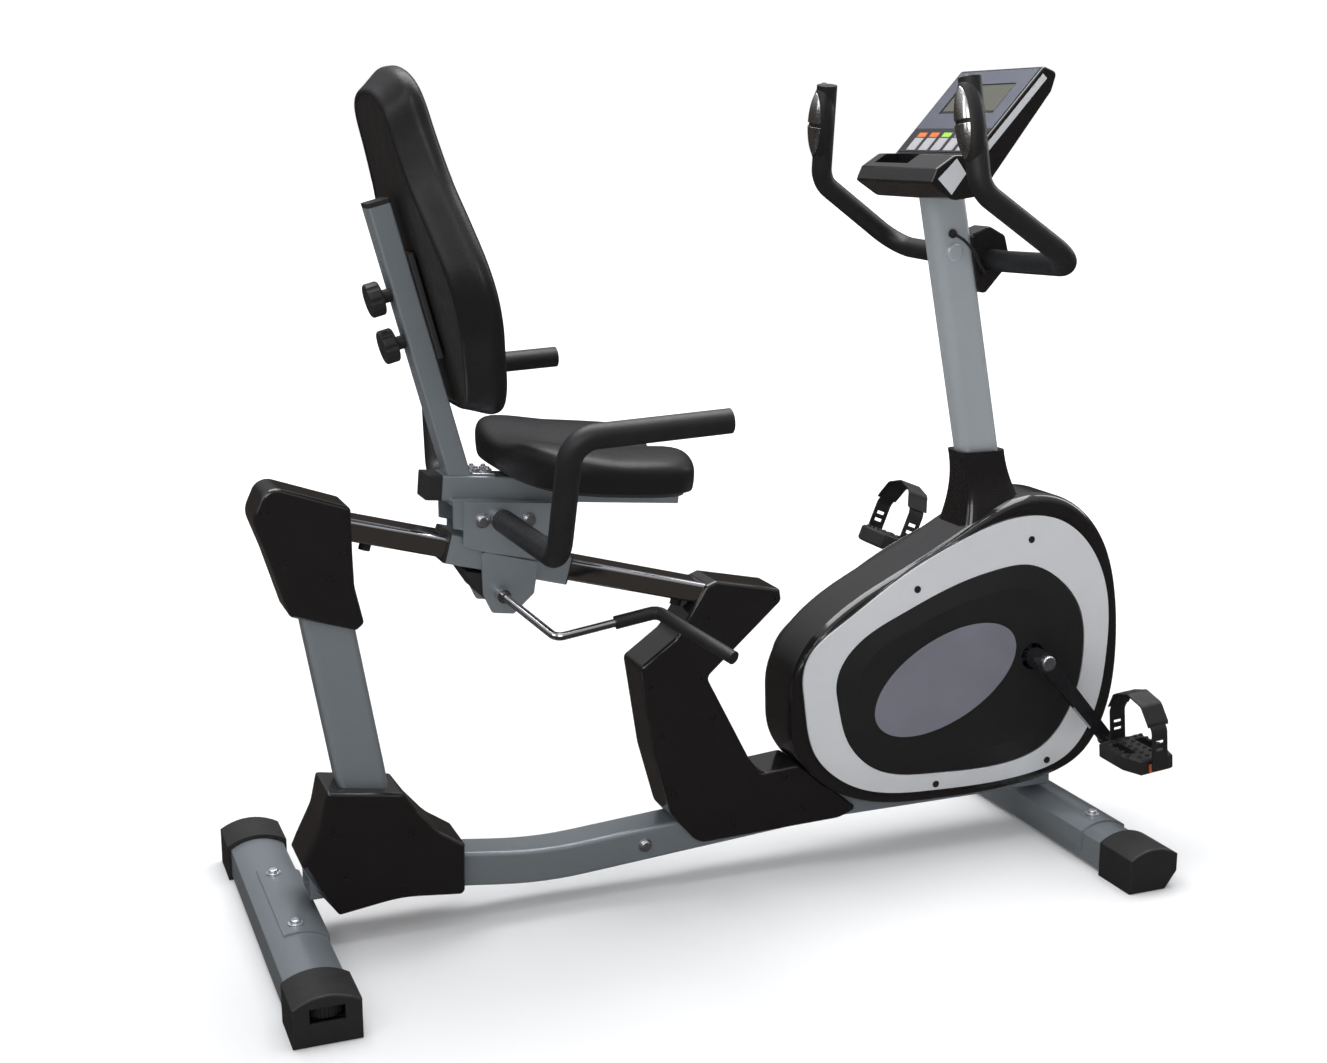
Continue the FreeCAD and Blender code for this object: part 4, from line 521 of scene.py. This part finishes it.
def plates(name, blocks, place, material):
    """One piece of the frame made of thin blocks, each given by two corners in a local frame."""
    points = []
    faces = []
    for low, high in blocks:
        base = len(points)
        for c in (low[2], high[2]):
            points += [place(low[0], low[1], c), place(high[0], low[1], c),
                       place(high[0], high[1], c), place(low[0], high[1], c)]
        faces += [tuple(base + k for k in quad) for quad in BLOCK_FACES]
    piece = face_outward(mesh_object(name, points, faces))
    piece.data.materials.append(material)
    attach(piece, "frame")


def on_face(up, y, out):
    """A point measured up the console's sloping face, sideways, and out of it."""
    return FACE_ORIGIN + UP_FACE * up + OUT_FACE * out + Vector((0, y, 0))


def key_cells():
    """For each key its right and left edges, and its middle and length up the face."""
    cells = []
    for i in range(1, KEY_COUNT + 1):
        low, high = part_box("key_%d" % i)
        middle = ((low + high) / 2 - FACE_ORIGIN).dot(UP_FACE)
        long = ((high - low).z - KEY_THICK * OUT_FACE.z) / UP_FACE.z
        cells.append((low.y, high.y, middle, long))
    return cells


def key_row(keys):
    """Where the row of keys, with its gaps, starts and ends up the face."""
    middle, long = keys[0][2:]
    return middle - long / 2 - KEY_GAP, middle + long / 2 + KEY_GAP


def dress_key_field(keys):
    """A black film around the keys."""
    edge = face_high.y - FIELD_INSET
    bottom, top = key_row(keys)
    field = [((FIELD_INSET, -edge, 0.0), (bottom, edge, FILM)), ((top, -edge, 0.0), (FIELD_TOP, edge, FILM))]
    spans = sorted((right - KEY_GAP, left + KEY_GAP) for right, left, _, _ in keys)
    stops = [-edge] + [v for span in spans for v in span] + [edge]
    for right, left in zip(stops[0::2], stops[1::2]):
        field.append(((bottom, right, 0.0), (top, left, FILM)))
    plates("key_field", field, on_face, tint("field_black", (0.020, 0.019, 0.022), 0.30))


def dress_bars(keys):
    """A coloured bar above each key, one piece for each colour."""
    top = key_row(keys)[1]
    for name, colour, which in BARS:
        blocks = [((top + BAR_BOTTOM, keys[i][0] + BAR_INSET, FILM),
                   (top + BAR_TOP, keys[i][1] - BAR_INSET, 2 * FILM)) for i in which]
        plates("bar_" + name, blocks, on_face, tint("bar_" + name, colour))


def dress_screen():
    """A thin black mask along the display's four edges."""
    low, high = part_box("console_screen")
    half = high.y
    inside = half - MASK_WIDE
    bottom = (low.x - FACE_ORIGIN.x) / UP_FACE.x + MASK_INSET[0]
    top = (high.x - FACE_ORIGIN.x) / UP_FACE.x - MASK_INSET[1]
    rise = MASK_SUNK + FILM
    edges = [((bottom, -half, MASK_SUNK), (bottom + MASK_WIDE, half, rise)),
             ((top - MASK_WIDE, -half, MASK_SUNK), (top, half, rise)),
             ((bottom + MASK_WIDE, -half, MASK_SUNK), (top - MASK_WIDE, -inside, rise)),
             ((bottom + MASK_WIDE, inside, MASK_SUNK), (top - MASK_WIDE, half, rise))]
    plates("screen_frame", edges, on_face, tint("screen_mask", (0.012, 0.012, 0.014), 0.25))


def dress_console_sides():
    """A silver strip along the face's edge and a silver patch below it, on both sides."""
    silver = powder_coat("strip_silver", (0.78, 0.80, 0.83), 0.25, 0.3)
    case_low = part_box("console_case")[0]
    for side, label in ((-1, "right"), (1, "left")):
        wall = side * CONSOLE_HALF

        def on_side(up, out_of_face, out):
            return FACE_ORIGIN + UP_FACE * up + OUT_FACE * out_of_face + Vector((0, wall + side * out, 0))

        plates("side_strip_" + label, [SIDE_STRIP], on_side, silver)
        inner = [Vector((case_low.x + a, wall - side * PATCH_SUNK, case_low.z + b)) for a, b in SIDE_PATCH]
        outer = [p + Vector((0, side * PATCH_THICK, 0)) for p in inner]
        patch = face_outward(mesh_object("side_patch_" + label, *ring_surface([inner, outer])))
        patch.data.materials.append(silver)
        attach(patch, "frame")


def dress_console():
    """The printed film, bars and mask on the console's face, and its silver sides."""
    keys = key_cells()
    dress_key_field(keys)
    dress_bars(keys)
    dress_screen()
    dress_console_sides()


FACE_REACH = 0.0004
REFLECTOR_INSIDE = 0.0002
REFLECTOR_RISE = 0.0012
REFLECTOR_TAPER = 0.96


def corners_in_order(points):
    """Points of one upright face, in order around their middle."""
    middle = sum(points, Vector()) / len(points)
    return sorted(points, key=lambda p: math.atan2(p.z - middle.z, p.x - middle.x))


def dress_pedals():
    """Orange faces over the pedals' outer reflectors."""
    orange = tint("reflector_orange", (0.55, 0.10, 0.03), 0.20, 0.6)
    for label, side in (("right", -1), ("left", 1)):
        low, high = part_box("pedal_" + label)
        outer = low.y if side < 0 else high.y
        vertices = nodes["pedal_" + label].data.vertices
        corners = corners_in_order([Vector(v.co) for v in vertices if abs(v.co.y - outer) < FACE_REACH])
        middle = sum(corners, Vector()) / len(corners)
        inner = [Vector((p.x, outer + side * REFLECTOR_INSIDE, p.z)) for p in corners]
        rise = Vector((0, side * REFLECTOR_RISE, 0))
        front = [middle + (p - middle) * REFLECTOR_TAPER + rise for p in inner]
        piece = face_outward(mesh_object("reflector_" + label, *ring_surface([inner, front])))
        piece.data.materials.append(orange)
        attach(piece, "pedal_" + label)


RING_SCREW_REACH = 0.0545
SCREW_SPREAD = 0.015
PROBE_REACH = 0.08
HEAD_POINTS = 24
# Each ring's radius and its rise above the trim ring: a rounded rim around a shallow socket.
HEAD_PROFILE = [(0.0054, -0.0004), (0.0054, 0.0005), (0.0046, 0.0008), (0.0040, 0.0002), (0.0020, 0.0001)]


def ring_screw_centres():
    """The x, z and side of each cover screw that reaches out to a trim ring."""
    groups = []
    for vertex in nodes["cover_screws"].data.vertices:
        point = vertex.co.copy()
        near = [group for group in groups if (group[0] - point).length < SCREW_SPREAD]
        if abs(point.y) > RING_SCREW_REACH and near:
            near[0].append(point)
        elif abs(point.y) > RING_SCREW_REACH:
            groups.append([point])
    centres = []
    for group in groups:
        x = (min(p.x for p in group) + max(p.x for p in group)) / 2
        z = (min(p.z for p in group) + max(p.z for p in group)) / 2
        centres.append((x, z, 1 if group[0].y > 0 else -1))
    return centres


def dress_ring_screws_and_painted_shade():
    """Dark socket heads in the trim rings' screw holes: partly the real screws, partly painted shade, their
    black standing in for the shade inside the screw wells.
    """
    points = []
    faces = []
    turns = [2 * math.pi * n / HEAD_POINTS for n in range(HEAD_POINTS)]
    for x, z, side in ring_screw_centres():
        rim = nodes["trim_rings"].closest_point_on_mesh((x, side * PROBE_REACH, z))[1].y
        rings = [[Vector((x + radius * math.cos(t), rim + side * rise, z + radius * math.sin(t)))
                  for t in turns] for radius, rise in HEAD_PROFILE]
        more, sides = ring_surface(rings)
        faces += [tuple(len(points) + v for v in face) for face in sides]
        points += more
    piece = finish_mesh(mesh_object("ring_screw_heads_and_painted_shade", points, faces))
    # Black satin heads here are partly painted shade of the recessed screw wells.
    piece.data.materials.append(materials["black_satin"])
    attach(piece, "frame")


dress_console()
dress_pedals()
dress_ring_screws_and_painted_shade()


# ---------------------------------------------------------------- stage, light and camera

def area_light(name, at, towards, size, power):
    data = bpy.data.lights.new(name, "AREA")
    data.shape = "RECTANGLE"
    data.size, data.size_y = size
    data.energy = power
    lamp = bpy.data.objects.new(name, data)
    bpy.context.scene.collection.objects.link(lamp)
    lamp.location = at
    lamp.rotation_euler = (Vector(towards) - Vector(at)).to_track_quat("-Z", "Y").to_euler()


def build_world():
    """White behind the object, and a dim room with a bright ceiling for light and reflections."""
    world = bpy.data.worlds.new("studio")
    bpy.context.scene.world = world
    world.use_nodes = True
    tree = world.node_tree
    room = tree.nodes["Background"]
    backdrop = tree.nodes.new("ShaderNodeBackground")
    backdrop.inputs["Color"].default_value = (1.0, 1.0, 1.0, 1.0)
    direction = tree.nodes.new("ShaderNodeTexCoord").outputs["Generated"]
    split = tree.nodes.new("ShaderNodeSeparateXYZ")
    ramp = tree.nodes.new("ShaderNodeValToRGB")
    ramp.color_ramp.elements[0].position = 0.10
    ramp.color_ramp.elements[0].color = (0.050, 0.044, 0.040, 1.0)
    ramp.color_ramp.elements[1].position = 0.75
    ramp.color_ramp.elements[1].color = (0.62, 0.63, 0.66, 1.0)
    tree.links.new(direction, split.inputs["Vector"])
    tree.links.new(split.outputs["Z"], ramp.inputs["Fac"])
    tree.links.new(ramp.outputs["Color"], room.inputs["Color"])
    room.inputs["Strength"].default_value = 0.8
    chosen = tree.nodes.new("ShaderNodeMixShader")
    seen = tree.nodes.new("ShaderNodeLightPath").outputs["Is Camera Ray"]
    tree.links.new(seen, chosen.inputs["Fac"])
    tree.links.new(room.outputs["Background"], chosen.inputs[1])
    tree.links.new(backdrop.outputs["Background"], chosen.inputs[2])
    tree.links.new(chosen.outputs["Shader"], tree.nodes["World Output"].inputs["Surface"])


FLOOR_REACH = 40.0
FLOOR_CORNERS = ((-1, -1), (1, -1), (1, 1), (-1, 1))


def build_floor():
    """A matt white floor with a painted glow that is faint near the object and rises away from it, so the
    floor fades into the backdrop's white.
    """
    corners = [(a * FLOOR_REACH, b * FLOOR_REACH, cad_box[0].z) for a, b in FLOOR_CORNERS]
    floor = mesh_object("floor", corners, [(0, 1, 2, 3)])
    g = Graph("studio_floor_painted_glow")
    g.link(g.mix_colour(g.noise(3.0), (0.90, 0.90, 0.90), (0.93, 0.93, 0.93)), g.shader.inputs["Base Color"])
    g.set(roughness=0.9, specular_ior_level=0.1)
    reach = g.tree.nodes.new("ShaderNodeVectorMath")
    reach.operation = "LENGTH"
    g.link(g.place, reach.inputs[0])
    # Painted glow: white emission that grows with distance from the floor's middle, from faint near the
    # object to full beyond four metres.
    g.shader.inputs["Emission Color"].default_value = (1.0, 1.0, 1.0, 1.0)
    g.link(g.spread(reach.outputs["Value"], 1.4, 4.0, 0.06, 1.0), g.shader.inputs["Emission Strength"])
    floor.data.materials.append(g.material)
    floor.visible_glossy = False


def build_lights():
    """A broad ceiling light, a weak light from each side, and one from the camera's side."""
    middle = (cad_box[0] + cad_box[1]) / 2
    area_light("overhead", middle + Vector((0.1, 0.5, 2.5)), middle, (3.2, 2.4), 100.0)
    area_light("key", middle + Vector((-3.0, -1.6, 1.9)), middle, (1.0, 2.4), 15.0)
    aim = middle + Vector((0.3, 0.0, 0.0))
    area_light("front", middle + Vector((-1.6, -3.0, 1.5)), aim, (1.3, 1.3), 16.0)
    area_light("rim", middle + Vector((2.8, 0.6, 1.6)), middle, (0.8, 2.4), 16.0)


SENSOR_WIDTH = 36.0
LENS = 47.68
CAMERA_AT = (-0.9676, -2.2538, 1.0735)
CAMERA_YAW = math.radians(21.596)
CAMERA_PITCH = math.radians(12.732)


def build_camera():
    data = bpy.data.cameras.new("camera")
    data.sensor_width = SENSOR_WIDTH
    data.lens = LENS
    camera = bpy.data.objects.new("camera", data)
    bpy.context.scene.collection.objects.link(camera)
    camera.location = CAMERA_AT
    camera.rotation_euler = (math.pi / 2 - CAMERA_PITCH, 0.0, -CAMERA_YAW)
    bpy.context.scene.camera = camera
    bpy.context.scene.view_settings.view_transform = "Standard"


build_world()
build_floor()
build_lights()
build_camera()
